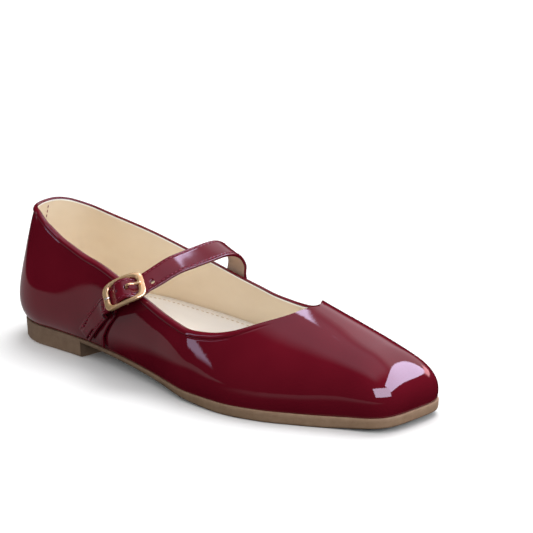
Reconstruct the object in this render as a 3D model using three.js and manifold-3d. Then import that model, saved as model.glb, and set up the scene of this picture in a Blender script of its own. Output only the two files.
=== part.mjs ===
// A square-toed mary jane flat for the right foot: a patent upper on a moulded outsole with a low heel,
// a padded insole, and an instep strap that runs through a small centre-bar buckle on the lateral side.
// Millimetres. +X runs to the toe, -Y is the lateral side, +Z is up and the floor is z = 0.
import * as THREE from "three";
import { mergeVertices } from "three/addons/utils/BufferGeometryUtils.js";
import Module from "manifold-3d";

const wasm = await Module();
wasm.setup();

// Driving dimensions
const last = {
  length: 245.5, // feather line, heel to toe
  ballWidth: 76, // unit of every width
  coneHeight: 86, // unit of every height above the feather line
  heelRound: 27, // length of the rounded heel end
  heelPower: 2.15, // how square that end is
  toeRound: 16, // length over which the square toe turns its corners
  toePower: 4,
  toeSlant: 0.1, // how far the medial side of the toe leads, for each unit of width
  spineHeel: 27, // where the ribs of the heel gather
  spineToe: 24, // where the ribs of the toe gather, measured back from the toe
  swellHeight: 13, // height at which the walls stand out most
};
const leather = { wall: 1.7, bead: 0.6, beadWidth: 3.4 };
const sole = {
  margin: 0.9, // how far it stands out past the feather line
  heelBlock: 54, // heel to breast, on the lateral side
  breastSlant: 0.18, // how much longer the block is on the medial side, for each unit of width
  taper: 0.4, // how much the side wall narrows towards the floor
  chamfer: 0.9,
};
const insole = {
  rim: 1.2, // rounding of its edge
  cup: 4.5, // how far the edge climbs the wall
};
const strap = { thickness: 1.6, width: 12.4, endWidth: 9.4, hole: 1.25 };
const tab = { thickness: 1.1, top: 9.5, foot: 16, slot: 2.6 };
const buckle = {
  length: 23.5,
  width: 16.8,
  endBand: 3.4,
  sideBand: 1.8,
  thickness: 1.7,
  bend: 36, // radius of its curve along the strap
  bar: 0.7, // radius
};
const prong = { radius: 0.6 };
const gap = 0.3; // between pieces that touch

// Plan of the feather line, heel to toe: half widths on each side, as shares of the ball width.
const plan = [
  { at: 0.0, lateral: 0.345, medial: 0.335 },
  { at: 0.12, lateral: 0.345, medial: 0.335 },
  { at: 0.24, lateral: 0.362, medial: 0.333 },
  { at: 0.35, lateral: 0.412, medial: 0.344 },
  { at: 0.46, lateral: 0.482, medial: 0.372 },
  { at: 0.57, lateral: 0.558, medial: 0.41 },
  { at: 0.66, lateral: 0.572, medial: 0.44 },
  { at: 0.75, lateral: 0.52, medial: 0.452 },
  { at: 0.83, lateral: 0.418, medial: 0.43 },
  { at: 0.91, lateral: 0.3, medial: 0.39 },
  { at: 1.0, lateral: 0.19, medial: 0.35 },
];
// Sections of the last. crest: height of the ridge, as a share of the cone height; ridge: how far it sits
// towards the medial side, as a share of the ball width; lateral, medial: how square each side's arch is;
// swells: how far each wall stands out over the feather line, as a share of the ball width.
const section = [
  { at: 0.0, crest: 1.02, ridge: 0.015, lateral: 2.3, medial: 2.3, lateralSwell: 0.055, medialSwell: 0.045 },
  { at: 0.12, crest: 1.01, ridge: 0.015, lateral: 2.3, medial: 2.3, lateralSwell: 0.055, medialSwell: 0.045 },
  { at: 0.25, crest: 0.97, ridge: 0.005, lateral: 2.5, medial: 2.3, lateralSwell: 0.032, medialSwell: 0.04 },
  { at: 0.4, crest: 0.86, ridge: 0, lateral: 2.3, medial: 2.4, lateralSwell: 0.024, medialSwell: 0.042 },
  { at: 0.52, crest: 0.75, ridge: 0, lateral: 2.15, medial: 2.3, lateralSwell: 0.018, medialSwell: 0.034 },
  { at: 0.64, crest: 0.625, ridge: 0.005, lateral: 2.0, medial: 2.05, lateralSwell: 0.016, medialSwell: 0.02 },
  { at: 0.74, crest: 0.53, ridge: 0.025, lateral: 1.95, medial: 1.85, lateralSwell: 0.016, medialSwell: 0.016 },
  { at: 0.83, crest: 0.43, ridge: 0.045, lateral: 2.0, medial: 2.0, lateralSwell: 0.016, medialSwell: 0.016 },
  { at: 0.91, crest: 0.325, ridge: 0.06, lateral: 2.2, medial: 2.2, lateralSwell: 0.016, medialSwell: 0.016 },
  { at: 1.0, crest: 0.22, ridge: 0.07, lateral: 2.4, medial: 2.4, lateralSwell: 0.016, medialSwell: 0.016 },
];
// Collar line: how far up the arch of each side the leather reaches, where 1 is the ridge. The two sides meet
// there at the throat.
const throat = 0.77;
const collar = [
  { at: 0.0, lateral: 0.447, medial: 0.447 },
  { at: 0.05, lateral: 0.452, medial: 0.404 },
  { at: 0.11, lateral: 0.402, medial: 0.374 },
  { at: 0.17, lateral: 0.343, medial: 0.361 },
  { at: 0.25, lateral: 0.299, medial: 0.352 },
  { at: 0.36, lateral: 0.293, medial: 0.327 },
  { at: 0.46, lateral: 0.293, medial: 0.316 },
  { at: 0.55, lateral: 0.315, medial: 0.328 },
  { at: 0.61, lateral: 0.369, medial: 0.36 },
  { at: 0.66, lateral: 0.452, medial: 0.41 },
  { at: 0.71, lateral: 0.6, medial: 0.555 },
  { at: 0.745, lateral: 0.75, medial: 0.78 },
  { at: throat, lateral: 1, medial: 1 },
];
// Side view of the bottom, as shares of the cone height: the feather line above the floor, and the underside
// between the heel block and the tread, below zero where the sole stands on the floor.
const bottom = [
  { at: 0.0, feather: 0.123, under: 0.095 },
  { at: 0.15, feather: 0.121, under: 0.093 },
  { at: 0.26, feather: 0.114, under: 0.084 },
  { at: 0.4, feather: 0.098, under: 0.065 },
  { at: 0.5, feather: 0.08, under: 0.04 },
  { at: 0.58, feather: 0.067, under: 0.012 },
  { at: 0.68, feather: 0.067, under: -0.004 },
  { at: 0.77, feather: 0.07, under: -0.016 },
  { at: 0.85, feather: 0.071, under: -0.004 },
  { at: 0.93, feather: 0.079, under: 0.013 },
  { at: 1.0, feather: 0.093, under: 0.03 },
];
// Padded insole: thickness of its middle, as a share of the cone height.
const padding = [
  { at: 0.0, thick: 0.055 },
  { at: 0.18, thick: 0.068 },
  { at: 0.3, thick: 0.09 },
  { at: 0.45, thick: 0.085 },
  { at: 0.65, thick: 0.06 },
  { at: 1.0, thick: 0.035 },
];
// Strap over the instep, from the buckle to the medial wall. along: share of the last's length; out: share of
// the ball width; up: height above the floor as a share of the cone height; turn: degrees that its face
// tips to the medial side; lean: degrees that it tips to the toe.
const arch = [
  { along: 0.422, out: -0.292, up: 0.626, turn: -34, lean: 12 },
  { along: 0.439, out: -0.191, up: 0.667, turn: -24, lean: 20 },
  { along: 0.45, out: -0.072, up: 0.687, turn: -14, lean: 25 },
  { along: 0.459, out: 0.047, up: 0.701, turn: -5, lean: 28 },
  { along: 0.463, out: 0.2, up: 0.703, turn: 14, lean: 26 },
  { along: 0.462, out: 0.29, up: 0.677, turn: 38, lean: 20 },
  { along: 0.46, out: 0.352, up: 0.63, turn: 60, lean: 10 },
  { along: 0.459, out: 0.386, up: 0.57, turn: 78, lean: 4 },
];
// Lines that the ends follow on the walls. along: share of the length; up: share of the cone height above the
// floor.
const freeEnd = [
  { along: 0.256, up: 0.19 },
  { along: 0.284, up: 0.28 },
  { along: 0.312, up: 0.37 },
];
const tabLine = [
  { along: 0.281, up: 0.168 },
  { along: 0.292, up: 0.23 },
  { along: 0.31, up: 0.31 },
  { along: 0.33, up: 0.38 },
];
const medialEnd = [
  { along: 0.459, up: 0.5 },
  { along: 0.462, up: 0.38 },
  { along: 0.466, up: 0.25 },
  { along: 0.47, up: 0.13 },
];
// Middle of the buckle, as shares like the arch's, and the way its face looks.
const seat = {
  along: 0.379,
  out: -0.476,
  up: 0.546,
  face: [0.088, -0.716, 0.693],
  run: [0.733, 0.518, 0.443],
};
// Holes of the strap, by their distance from the buckle's bar. The prong stands in the middle one.
const holes = [-2.6, 2.7, 15.2];

// Value of a table's column at a share of the length: a smooth curve that never overshoots its rows.
function read(table, column, at) {
  const end = table.length - 1;
  const slope = (i) => (table[i + 1][column] - table[i][column]) / (table[i + 1].at - table[i].at);
  const tangent = (i) => {
    if (i === 0) return slope(0);
    if (i === end) return slope(end - 1);
    const [before, after] = [slope(i - 1), slope(i)];
    return before * after <= 0 ? 0 : (2 * before * after) / (before + after);
  };
  let i = 0;
  while (i < end - 1 && at > table[i + 1].at) i += 1;
  const width = table[i + 1].at - table[i].at;
  const s = THREE.MathUtils.clamp((at - table[i].at) / width, 0, 1);
  return (
    table[i][column] * (1 - s) * (1 - s) * (1 + 2 * s) +
    table[i + 1][column] * s * s * (3 - 2 * s) +
    tangent(i) * width * s * (1 - s) * (1 - s) -
    tangent(i + 1) * width * s * s * (1 - s)
  );
}
const smooth = (x, low, high) => THREE.MathUtils.smoothstep(x, low, high);
const clamp01 = (x) => THREE.MathUtils.clamp(x, 0, 1);
const crestAt = (x) => read(section, "crest", x / last.length) * last.coneHeight;
const featherAt = (x) => read(bottom, "feather", x / last.length) * last.coneHeight;

// Stations round the feather line: x along the last and reach, how far the half width has opened from the
// middle of the rounded ends. They are evenly spaced along the edge.
function edgeStations(count) {
  const path = [];
  for (let i = 0; i <= 90; i += 1) {
    const turn = (i * Math.PI) / 180;
    const power = 2 / last.heelPower;
    path.push([last.heelRound * (1 - Math.cos(turn) ** power), Math.sin(turn) ** power]);
  }
  for (let i = 0; i <= 90; i += 1) {
    const turn = (i * Math.PI) / 180;
    path.push([
      last.length - last.toeRound * (1 - Math.sin(turn) ** (2 / last.toePower)),
      Math.max(0, Math.cos(turn)) ** (2 / last.toePower),
    ]);
  }
  const run = [0];
  for (let i = 1; i < path.length; i += 1) {
    const half = 0.33 * last.ballWidth;
    run.push(run[i - 1] + Math.hypot(path[i][0] - path[i - 1][0], half * (path[i][1] - path[i - 1][1])));
  }
  const total = run[run.length - 1];
  const stations = [];
  let k = 0;
  for (let i = 0; i <= count; i += 1) {
    const aim = (total * i) / count;
    while (k < run.length - 2 && run[k + 1] < aim) k += 1;
    const s = clamp01((aim - run[k]) / (run[k + 1] - run[k]));
    stations.push({
      x: THREE.MathUtils.lerp(path[k][0], path[k + 1][0], s),
      reach: THREE.MathUtils.lerp(path[k][1], path[k + 1][1], s),
    });
  }
  // One station sits on the throat, so that the collar comes to its point there.
  const tip = throat * last.length;
  const nearest = stations.reduce((a, b) => (Math.abs(b.x - tip) < Math.abs(a.x - tip) ? b : a));
  nearest.x = tip;
  return stations;
}

// Point of the feather line at a station, on one side.
function featherPoint(station, side) {
  const at = station.x / last.length;
  const [lateral, medial] = [read(plan, "lateral", at), read(plan, "medial", at)];
  const half = side < 0 ? lateral : medial;
  const middle = (medial - lateral) / 2;
  const y = last.ballWidth * (middle * (1 - station.reach) + side * half * station.reach);
  return new THREE.Vector2(station.x + last.toeSlant * y * smooth(station.x, 0.7 * last.length, last.length), y);
}

// The feather line as a closed ring of ribs, from the heel along the lateral side to the toe and back along
// the medial side. Each rib has its foot, drawn in by an inset, and the point of the spine it climbs to.
function ribs(stations, inset) {
  const ring = [];
  stations.forEach((station) => ring.push({ station, side: -1 }));
  for (let i = stations.length - 2; i > 0; i -= 1) ring.push({ station: stations[i], side: 1 });
  const feet = ring.map((rib) => featherPoint(rib.station, rib.side));
  const ramp = (x) => 6 * Math.log1p(Math.exp(x / 6));
  return ring.map((rib, i) => {
    const ahead = feet[(i + 1) % ring.length];
    const behind = feet[(i + ring.length - 1) % ring.length];
    const along = ahead.clone().sub(behind).normalize();
    const foot = feet[i].clone().add(new THREE.Vector2(-along.y, along.x).multiplyScalar(inset));
    const past = ramp(rib.station.x - last.length + last.spineToe);
    const x = last.spineHeel + ramp(rib.station.x - last.spineHeel) - past;
    const spine = new THREE.Vector2(x, read(section, "ridge", x / last.length) * last.ballWidth);
    return { ...rib, foot, spine };
  });
}

// Point of the last's surface on a rib. climb runs from 0 at the feather line to 1 at the ridge.
function onLast(rib, climb, lower = 0, out = 0) {
  const at = rib.spine.x / last.length;
  const power = 2 / read(section, rib.side < 0 ? "lateral" : "medial", at);
  const turn = (climb * Math.PI) / 2;
  const near = climb >= 1 ? 0 : Math.cos(turn) ** power;
  const arm = rib.foot.clone().sub(rib.spine);
  const x = rib.spine.x + arm.x * near;
  const rise = (crestAt(x) - lower) * Math.sin(turn) ** power;
  const share = rise / last.swellHeight;
  const swell = read(section, rib.side < 0 ? "lateralSwell" : "medialSwell", rib.station.x / last.length);
  const push = near * share * Math.exp(1 - share) * swell * last.ballWidth + out;
  const place = rib.spine.clone().addScaledVector(arm, near).addScaledVector(arm.normalize(), push);
  return new THREE.Vector3(place.x, place.y, featherAt(x) + rise);
}

function collarAt(rib) {
  const at = rib.station.x / last.length;
  return at >= throat ? 1 : read(collar, rib.side < 0 ? "lateral" : "medial", at);
}

// Closed body from rows of points, each row a ring of the same length, capped by extra triangles of indices.
// Quads for which open(row, place) is true are left out.
function bodyFromRows(rows, caps, closed = false, open = () => false) {
  const count = rows[0].length;
  const points = rows.flat();
  const faces = [];
  const bands = closed ? rows.length : rows.length - 1;
  for (let r = 0; r < bands; r += 1) {
    const [low, high] = [r * count, ((r + 1) % rows.length) * count];
    for (let i = 0; i < count; i += 1) {
      const j = (i + 1) % count;
      if (open(r, i)) continue;
      faces.push(low + i, low + j, high + j, low + i, high + j, high + i);
    }
  }
  faces.push(...caps);
  return weld(points, faces);
}

// Indexed geometry with equal corners joined and collapsed triangles left out, facing outward.
function weld(points, faces) {
  const geometry = new THREE.BufferGeometry();
  const numbers = points.flatMap((p) => [p.x, p.y, p.z]);
  geometry.setAttribute("position", new THREE.Float32BufferAttribute(numbers, 3));
  geometry.setIndex(faces);
  const merged = mergeVertices(geometry, 1e-3);
  const index = merged.index.array;
  const kept = [];
  for (let i = 0; i < index.length; i += 3) {
    const [a, b, c] = [index[i], index[i + 1], index[i + 2]];
    if (a !== b && b !== c && c !== a) kept.push([a, b, c]);
  }
  const corner = (i) => new THREE.Vector3().fromBufferAttribute(merged.attributes.position, i);
  const volume = kept.reduce((sum, [a, b, c]) => sum + corner(a).dot(corner(b).cross(corner(c))), 0);
  merged.setIndex(kept.flatMap(([a, b, c]) => (volume < 0 ? [a, c, b] : [a, b, c])));
  return merged;
}

function toSolid(geometry) {
  const mesh = new wasm.Mesh({
    numProp: 3,
    vertProperties: new Float32Array(geometry.attributes.position.array),
    triVerts: new Uint32Array(geometry.index.array),
  });
  return new wasm.Manifold(mesh);
}
function toGeometry(solid) {
  const mesh = solid.getMesh();
  const geometry = new THREE.BufferGeometry();
  geometry.setAttribute("position", new THREE.BufferAttribute(new Float32Array(mesh.vertProperties), 3));
  geometry.setIndex(new THREE.BufferAttribute(new Uint32Array(mesh.triVerts), 1));
  return geometry;
}

// Triangles that close a ring of ribs straight across, from the lateral side to the medial.
function acrossCap(start, stationCount, up) {
  const ring = 2 * (stationCount - 1);
  const faces = [];
  for (let i = 0; i < stationCount - 1; i += 1) {
    const [a, b] = [start + i, start + i + 1];
    const [c, d] = [start + ((ring - i - 1) % ring), start + ((ring - i) % ring)];
    if (up) faces.push(a, b, c, a, c, d);
    else faces.push(a, c, b, a, d, c);
  }
  return faces;
}

// Upper
const stations = edgeStations(50);
function upperGeometry() {
  const outerRibs = ribs(stations, 0);
  const innerRibs = ribs(stations, leather.wall);
  const bead = (rib) => leather.bead * (1 - smooth(rib.station.x / last.length, 0.64, 0.75));
  const climbs = [0, 0.025, 0.07, 0.15, 0.24, 0.34, 0.45, 0.57, 0.7, 0.84, 1];
  // The collar's rolled edge: the wall steps out below the top and rounds over it.
  const roll = [
    { down: 1, out: 0 },
    { down: 0.85, out: 0.8 },
    { down: 0.5, out: 1 },
    { down: 0.15, out: 0.75 },
  ];
  const rows = [];
  const edge = (rib) => leather.beadWidth / onLast(rib, 0).distanceTo(onLast(rib, collarAt(rib)));
  climbs.slice(0, -1).forEach((share) => {
    rows.push(outerRibs.map((rib) => onLast(rib, share * (collarAt(rib) * (1 - edge(rib))))));
  });
  roll.forEach((step) => {
    const height = (rib) => collarAt(rib) * (1 - edge(rib) * step.down);
    rows.push(outerRibs.map((rib) => onLast(rib, height(rib), 0, step.out * bead(rib))));
  });
  rows.push(outerRibs.map((rib) => onLast(rib, collarAt(rib), 0, 0)));
  const rim = rows.length - 1;
  const joined = (i) => collarAt(outerRibs[i % outerRibs.length]) >= 1;
  const innerClimb = (rib) => collarAt(rib) + 0.018 * (1 - collarAt(rib));
  [...climbs].reverse().forEach((share) => {
    rows.push(innerRibs.map((rib) => onLast(rib, share * innerClimb(rib), leather.wall)));
  });
  // Past the throat the two sides run into each other, so there is no rim to close.
  return bodyFromRows(rows, [], true, (row, i) => row === rim && joined(i) && joined(i + 1));
}

// Outsole with its heel
function soleGeometry() {
  const ring = ribs(stations, -sole.margin);
  const narrower = ribs(stations, -sole.margin + sole.taper);
  const narrowest = ribs(stations, -sole.margin + sole.taper + sole.chamfer);
  const flat = (list, height) => list.map((rib) => new THREE.Vector3(rib.foot.x, rib.foot.y, height(rib.foot.x)));
  const rows = [
    flat(narrowest, () => 0),
    flat(narrower, () => sole.chamfer),
    flat(ring, (x) => featherAt(x) - gap),
  ];
  const count = ring.length;
  const caps = [...acrossCap(0, stations.length, false), ...acrossCap(2 * count, stations.length, true)];
  const block = toSolid(bodyFromRows(rows, caps));
  // The hollow under the arch and the lift under the toe are cut out of the full depth.
  const shares = bottom.flatMap((row, i) => (i ? [(row.at + bottom[i - 1].at) / 2, row.at] : [row.at]));
  const cutter = (from, to, slant) => {
    const wide = last.ballWidth;
    const clear = from + (slant * wide) / last.length;
    const xs = [from, ...shares.filter((at) => at > clear && at < to), to];
    const slab = xs.map((at, i) => {
      const x = at * last.length;
      const top = read(bottom, "under", Math.min(at, 1)) * last.coneHeight;
      const lean = i === 0 ? slant * wide : 0;
      return [
        new THREE.Vector3(x - lean, -wide, -5),
        new THREE.Vector3(x + lean, wide, -5),
        new THREE.Vector3(x + lean, wide, top),
        new THREE.Vector3(x - lean, -wide, top),
      ];
    });
    const end = 4 * (slab.length - 1);
    const ends = [0, 2, 1, 0, 3, 2, end, end + 1, end + 2, end, end + 2, end + 3];
    return toSolid(bodyFromRows(slab, ends));
  };
  const lateralHalf = read(plan, "lateral", sole.heelBlock / last.length) * last.ballWidth;
  const breast = (sole.heelBlock + sole.breastSlant * lateralHalf) / last.length;
  const ball = 0.77; // the sole stands on the floor here
  return toGeometry(block.subtract(cutter(breast, ball, sole.breastSlant)).subtract(cutter(ball, 1.05, 0)));
}

// Insole: a padded sock that fills the bottom and climbs a little up the walls all round.
const padAt = (x) => read(padding, "thick", x / last.length) * last.coneHeight;
function insoleGeometry() {
  const inner = ribs(stations, leather.wall + gap + 0.15);
  // Height of the sock's edge over the feather line, and the climb on the last's arch that gives it.
  const edge = (rib) =>
    padAt(rib.foot.x) + insole.cup * (1 - smooth(rib.foot.x, 0.5 * last.length, 0.85 * last.length));
  const climb = (rib, height) => {
    let [low, high] = [0, 1];
    for (let i = 0; i < 24; i += 1) {
      const half = (low + high) / 2;
      if (onLast(rib, half, leather.wall).z - featherAt(rib.foot.x) < height) low = half;
      else high = half;
    }
    return low;
  };
  const wall = (share, inset) =>
    inner.map((rib) => {
      const point = onLast(rib, climb(rib, edge(rib) * share), leather.wall);
      const inward = rib.spine.clone().sub(rib.foot).normalize().multiplyScalar(inset);
      return new THREE.Vector3(point.x + inward.x, point.y + inward.y, point.z);
    });
  const dish = (reach, lift) =>
    inner.map((rib) => {
      const place = rib.foot.clone().lerp(rib.spine, reach);
      const rise = padAt(place.x) + lift * (edge(rib) - padAt(rib.foot.x));
      return new THREE.Vector3(place.x, place.y, featherAt(place.x) + rise);
    });
  const sides = [wall(0, 0), wall(0.45, 0), wall(0.9, 0), wall(1, insole.rim)];
  const rows = [...sides, dish(0.3, 0.35), dish(0.55, 0.08)];
  const top = (rows.length - 1) * inner.length;
  const caps = [...acrossCap(0, stations.length, false), ...acrossCap(top, stations.length, true)];
  return bodyFromRows(rows, caps);
}

// Point and outward normal of a wall at a distance along the last and a height above the floor.
function onWall(side, x, height) {
  const point = (px, pz) => {
    const at = px / last.length;
    const power = read(section, side < 0 ? "lateral" : "medial", at);
    const rise = pz - featherAt(px);
    const near = (1 - clamp01(rise / crestAt(px)) ** power) ** (1 / power);
    const ridge = read(section, "ridge", at);
    const half = read(plan, side < 0 ? "lateral" : "medial", at);
    const share = Math.max(0, rise) / last.swellHeight;
    const swell = read(section, side < 0 ? "lateralSwell" : "medialSwell", at);
    const y = ridge + (side * half - ridge) * near + side * near * share * Math.exp(1 - share) * swell;
    return new THREE.Vector3(px, y * last.ballWidth, pz);
  };
  const centre = point(x, height);
  const ahead = point(x + 1, height).sub(centre);
  const above = point(x, height + 1).sub(centre);
  return { point: centre, normal: above.cross(ahead).multiplyScalar(side).normalize() };
}

// Band swept along keys of point, normal, half width and thickness, with both long edges rounded.
function bandGeometry(keys, count) {
  const points = new THREE.CatmullRomCurve3(keys.map((key) => key.point), false, "centripetal");
  const normals = new THREE.CatmullRomCurve3(keys.map((key) => key.normal), false, "centripetal");
  const rows = [];
  for (let i = 0; i <= count; i += 1) {
    const place = (i / count) * (keys.length - 1);
    const k = Math.min(Math.floor(place), keys.length - 2);
    const half = THREE.MathUtils.lerp(keys[k].half, keys[k + 1].half, place - k);
    const point = points.getPoint(i / count);
    const along = points.getTangent(i / count);
    const normal = normals.getPoint(i / count);
    normal.addScaledVector(along, -normal.dot(along)).normalize();
    const across = along.clone().cross(normal);
    const t = keys[0].thick / 2;
    const outline = [
      [half - 0.8 * t, -t],
      [half, -0.35 * t],
      [half, 0.35 * t],
      [half - 0.8 * t, t],
      [-half + 0.8 * t, t],
      [-half, 0.35 * t],
      [-half, -0.35 * t],
      [-half + 0.8 * t, -t],
    ];
    rows.push(outline.map(([a, b]) => point.clone().addScaledVector(across, a).addScaledVector(normal, b)));
  }
  const caps = [];
  const end = rows[0].length * (rows.length - 1);
  for (let i = 1; i < rows[0].length - 1; i += 1) caps.push(0, i + 1, i, end, end + i, end + i + 1);
  return bodyFromRows(rows, caps);
}

// Point given by shares of the length, the ball width and the cone height.
function fromShares(row) {
  return new THREE.Vector3(row.along * last.length, row.out * last.ballWidth, row.up * last.coneHeight);
}

// Keys of a band that lies on a wall, its middle at a distance from the leather.
function wallKeys(side, line, off, half, thick) {
  return line.map((row, i) => {
    const wall = onWall(side, row.along * last.length, row.up * last.coneHeight);
    const point = wall.point.clone().addScaledVector(wall.normal, off);
    return { point, normal: wall.normal, half: half(i / (line.length - 1)), thick };
  });
}

// Buckle: its own axes, with a along the strap, b across it and c out of its face.
const face = new THREE.Vector3(...seat.face).normalize();
const run = new THREE.Vector3(...seat.run).projectOnPlane(face).normalize();
const sideways = run.clone().cross(face);
const middle = fromShares(seat);
function onBuckle(a, b, c) {
  return middle.clone().addScaledVector(run, a).addScaledVector(sideways, b).addScaledVector(face, c);
}
const barLevel = -2;
const barReach = buckle.bar + gap + tab.thickness; // outside of the tab's loop round the bar
const crown = barLevel + barReach + gap + strap.thickness / 2; // middle of the strap over the bar
const bandLevel = (a) => -buckle.bend * (1 - Math.cos(a / buckle.bend));
const tuckAt = buckle.length / 2 - buckle.endBand / 2;
const tuck = bandLevel(tuckAt) - buckle.thickness / 2 - gap - strap.thickness / 2 - 0.1;

function frameGeometry() {
  // The frame's section runs round a rounded rectangle, wider at the two ends.
  const steps = 56;
  const rows = [];
  for (let i = 0; i < steps; i += 1) {
    const turn = ((i + 0.5) / steps) * 2 * Math.PI;
    const [c, s] = [Math.cos(turn), Math.sin(turn)];
    const power = 2 / 4.2;
    const ends = Math.abs(c) ** 1.6;
    const band = THREE.MathUtils.lerp(buckle.sideBand, buckle.endBand, ends);
    const outline = [
      [0, -0.5],
      [0, 0.15],
      [0.3, 0.5],
      [0.7, 0.5],
      [1, 0.15],
      [1, -0.5],
    ];
    const outer = [
      (Math.sign(c) * Math.abs(c) ** power * buckle.length) / 2,
      (Math.sign(s) * Math.abs(s) ** power * buckle.width) / 2,
    ];
    const inner = [
      Math.sign(c) * Math.abs(c) ** power * (buckle.length / 2 - buckle.endBand),
      Math.sign(s) * Math.abs(s) ** power * (buckle.width / 2 - buckle.sideBand),
    ];
    rows.push(
      outline.map(([inward, out]) => {
        const a = THREE.MathUtils.lerp(outer[0], inner[0], inward);
        const b = THREE.MathUtils.lerp(outer[1], inner[1], inward);
        const lift = out * Math.min(buckle.thickness, band);
        const bent = a / buckle.bend;
        return onBuckle((buckle.bend + lift) * Math.sin(bent), b, bandLevel(a) + lift * Math.cos(bent));
      }),
    );
  }
  const ring = toSolid(bodyFromRows(rows, [], true));
  // The bar crosses under the frame, with a short post up to each side.
  const reach = buckle.width / 2 - buckle.sideBand / 2;
  const tube = (from, to, radius) => toSolid(tubeGeometry([from, to], radius, 10));
  const bar = tube(onBuckle(0, -reach - 0.4, barLevel), onBuckle(0, reach + 0.4, barLevel), buckle.bar);
  const post = (b) => tube(onBuckle(0, b, barLevel), onBuckle(0, b, 0), buckle.bar);
  return toGeometry(ring.add(bar).add(post(-reach)).add(post(reach)));
}

// Round rod through points, closed by flat ends.
function tubeGeometry(points, radius, count) {
  const rows = points.map((point, i) => {
    const [behind, ahead] = [points[Math.max(i - 1, 0)], points[Math.min(i + 1, points.length - 1)]];
    const along = ahead.clone().sub(behind).normalize();
    const first = (Math.abs(along.dot(sideways)) > 0.9 ? face : sideways).clone();
    first.addScaledVector(along, -first.dot(along)).normalize();
    const second = along.clone().cross(first);
    return Array.from({ length: count }, (_, k) => {
      const turn = (2 * Math.PI * k) / count;
      const place = point.clone().addScaledVector(first, radius * Math.cos(turn));
      return place.addScaledVector(second, radius * Math.sin(turn));
    });
  });
  const caps = [];
  const end = count * (rows.length - 1);
  for (let i = 1; i < count - 1; i += 1) caps.push(0, i + 1, i, end, end + i, end + i + 1);
  return bodyFromRows(rows, caps);
}

// Block in the buckle's axes, for cutting.
function buckleBlock(a, b, c) {
  const rows = c.map((level) => [
    onBuckle(a[0], b[0], level),
    onBuckle(a[1], b[0], level),
    onBuckle(a[1], b[1], level),
    onBuckle(a[0], b[1], level),
  ]);
  return toSolid(bodyFromRows(rows, [0, 2, 1, 0, 3, 2, 4, 5, 6, 4, 6, 7]));
}

// Prong: hooked round the bar, up through the strap's hole and down to the frame's end band.
const hookRadius = buckle.bar + gap + 0.05 + prong.radius;
const holeAt = holes[1];
function prongGeometry() {
  const path = [];
  for (let turn = 130; turn <= 340; turn += 30) {
    const angle = (turn * Math.PI) / 180;
    path.push(onBuckle(hookRadius * Math.cos(angle), 0, barLevel + hookRadius * Math.sin(angle)));
  }
  const rest = bandLevel(tuckAt) + buckle.thickness / 2 + gap + prong.radius;
  path.push(onBuckle(2.1, 0, barLevel + 1.2), onBuckle(holeAt, 0, crown), onBuckle(3.6, 0, crown + 1.5));
  path.push(onBuckle(5, 0, crown + 1.45), onBuckle(7, 0, rest + 0.9), onBuckle(tuckAt - 0.6, 0, rest + 0.15));
  path.push(onBuckle(tuckAt + 0.5, 0, rest + 0.05));
  return tubeGeometry(path, prong.radius, 8);
}

function strapGeometry() {
  const half = strap.width / 2;
  const endHalf = strap.endWidth / 2;
  const over = gap + tab.thickness + gap + strap.thickness / 2 + 0.45;
  const widening = (s) => THREE.MathUtils.lerp(endHalf, 0.5 * (endHalf + half), s);
  const keys = wallKeys(-1, freeEnd, over, widening, strap.thickness);
  const inBuckle = half - 0.2;
  const at = (a, c) => {
    keys.push({ point: onBuckle(a, 0, c), normal: face, half: inBuckle, thick: strap.thickness });
  };
  at(-tuckAt - 1.2, tuck - 0.6);
  for (const share of [-0.83, -0.56, -0.27, 0, 0.27, 0.56, 0.83]) {
    at(share * tuckAt, THREE.MathUtils.lerp(crown, tuck, smooth(Math.abs(share), 0.1, 0.85)));
  }
  at(tuckAt + 1.2, tuck - 0.5);
  arch.forEach((row) => {
    const [turn, lean] = [THREE.MathUtils.degToRad(row.turn), THREE.MathUtils.degToRad(row.lean)];
    const normal = new THREE.Vector3(0, Math.sin(turn), Math.cos(turn)).multiplyScalar(Math.cos(lean));
    normal.x = Math.sin(lean);
    keys.push({ point: fromShares(row), normal, half, thick: strap.thickness });
  });
  const beside = gap + strap.thickness / 2 + leather.bead + 0.15;
  keys.push(...wallKeys(1, medialEnd, beside, () => half, strap.thickness));
  const band = toSolid(bandGeometry(keys, 76));
  const punch = (a) => {
    const level = Math.abs(a) < tuckAt ? crown : tuck - 0.5;
    return toSolid(tubeGeometry([onBuckle(a, 0, level - 3), onBuckle(a, 0, level + 3)], strap.hole, 12));
  };
  return toGeometry(holes.reduce((left, a) => left.subtract(punch(a)), band));
}

function tabGeometry() {
  const half = tab.top / 2;
  const foot = tab.foot / 2;
  const width = (s) => THREE.MathUtils.lerp(foot, half, smooth(s, -0.25, 0.45));
  const keys = wallKeys(-1, tabLine, gap + tab.thickness / 2 + 0.2, width, tab.thickness);
  const loop = buckle.bar + gap + tab.thickness / 2;
  const under = onBuckle(-tuckAt * 0.55, 0, barLevel - loop - 1);
  keys.push({ point: under, normal: face, half, thick: tab.thickness });
  for (let turn = 250; turn <= 500; turn += 25) {
    const angle = (turn * Math.PI) / 180;
    const out = onBuckle(Math.cos(angle), 0, Math.sin(angle)).sub(middle);
    keys.push({
      point: onBuckle(loop * Math.cos(angle), 0, barLevel + loop * Math.sin(angle)),
      normal: out.negate(),
      half,
      thick: tab.thickness,
    });
  }
  const band = toSolid(bandGeometry(keys, 60));
  const slot = tab.slot / 2;
  const cut = buckleBlock([-2.5, 5], [-slot, slot], [barLevel - 4, barLevel + 4]);
  return toGeometry(band.subtract(cut));
}

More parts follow.
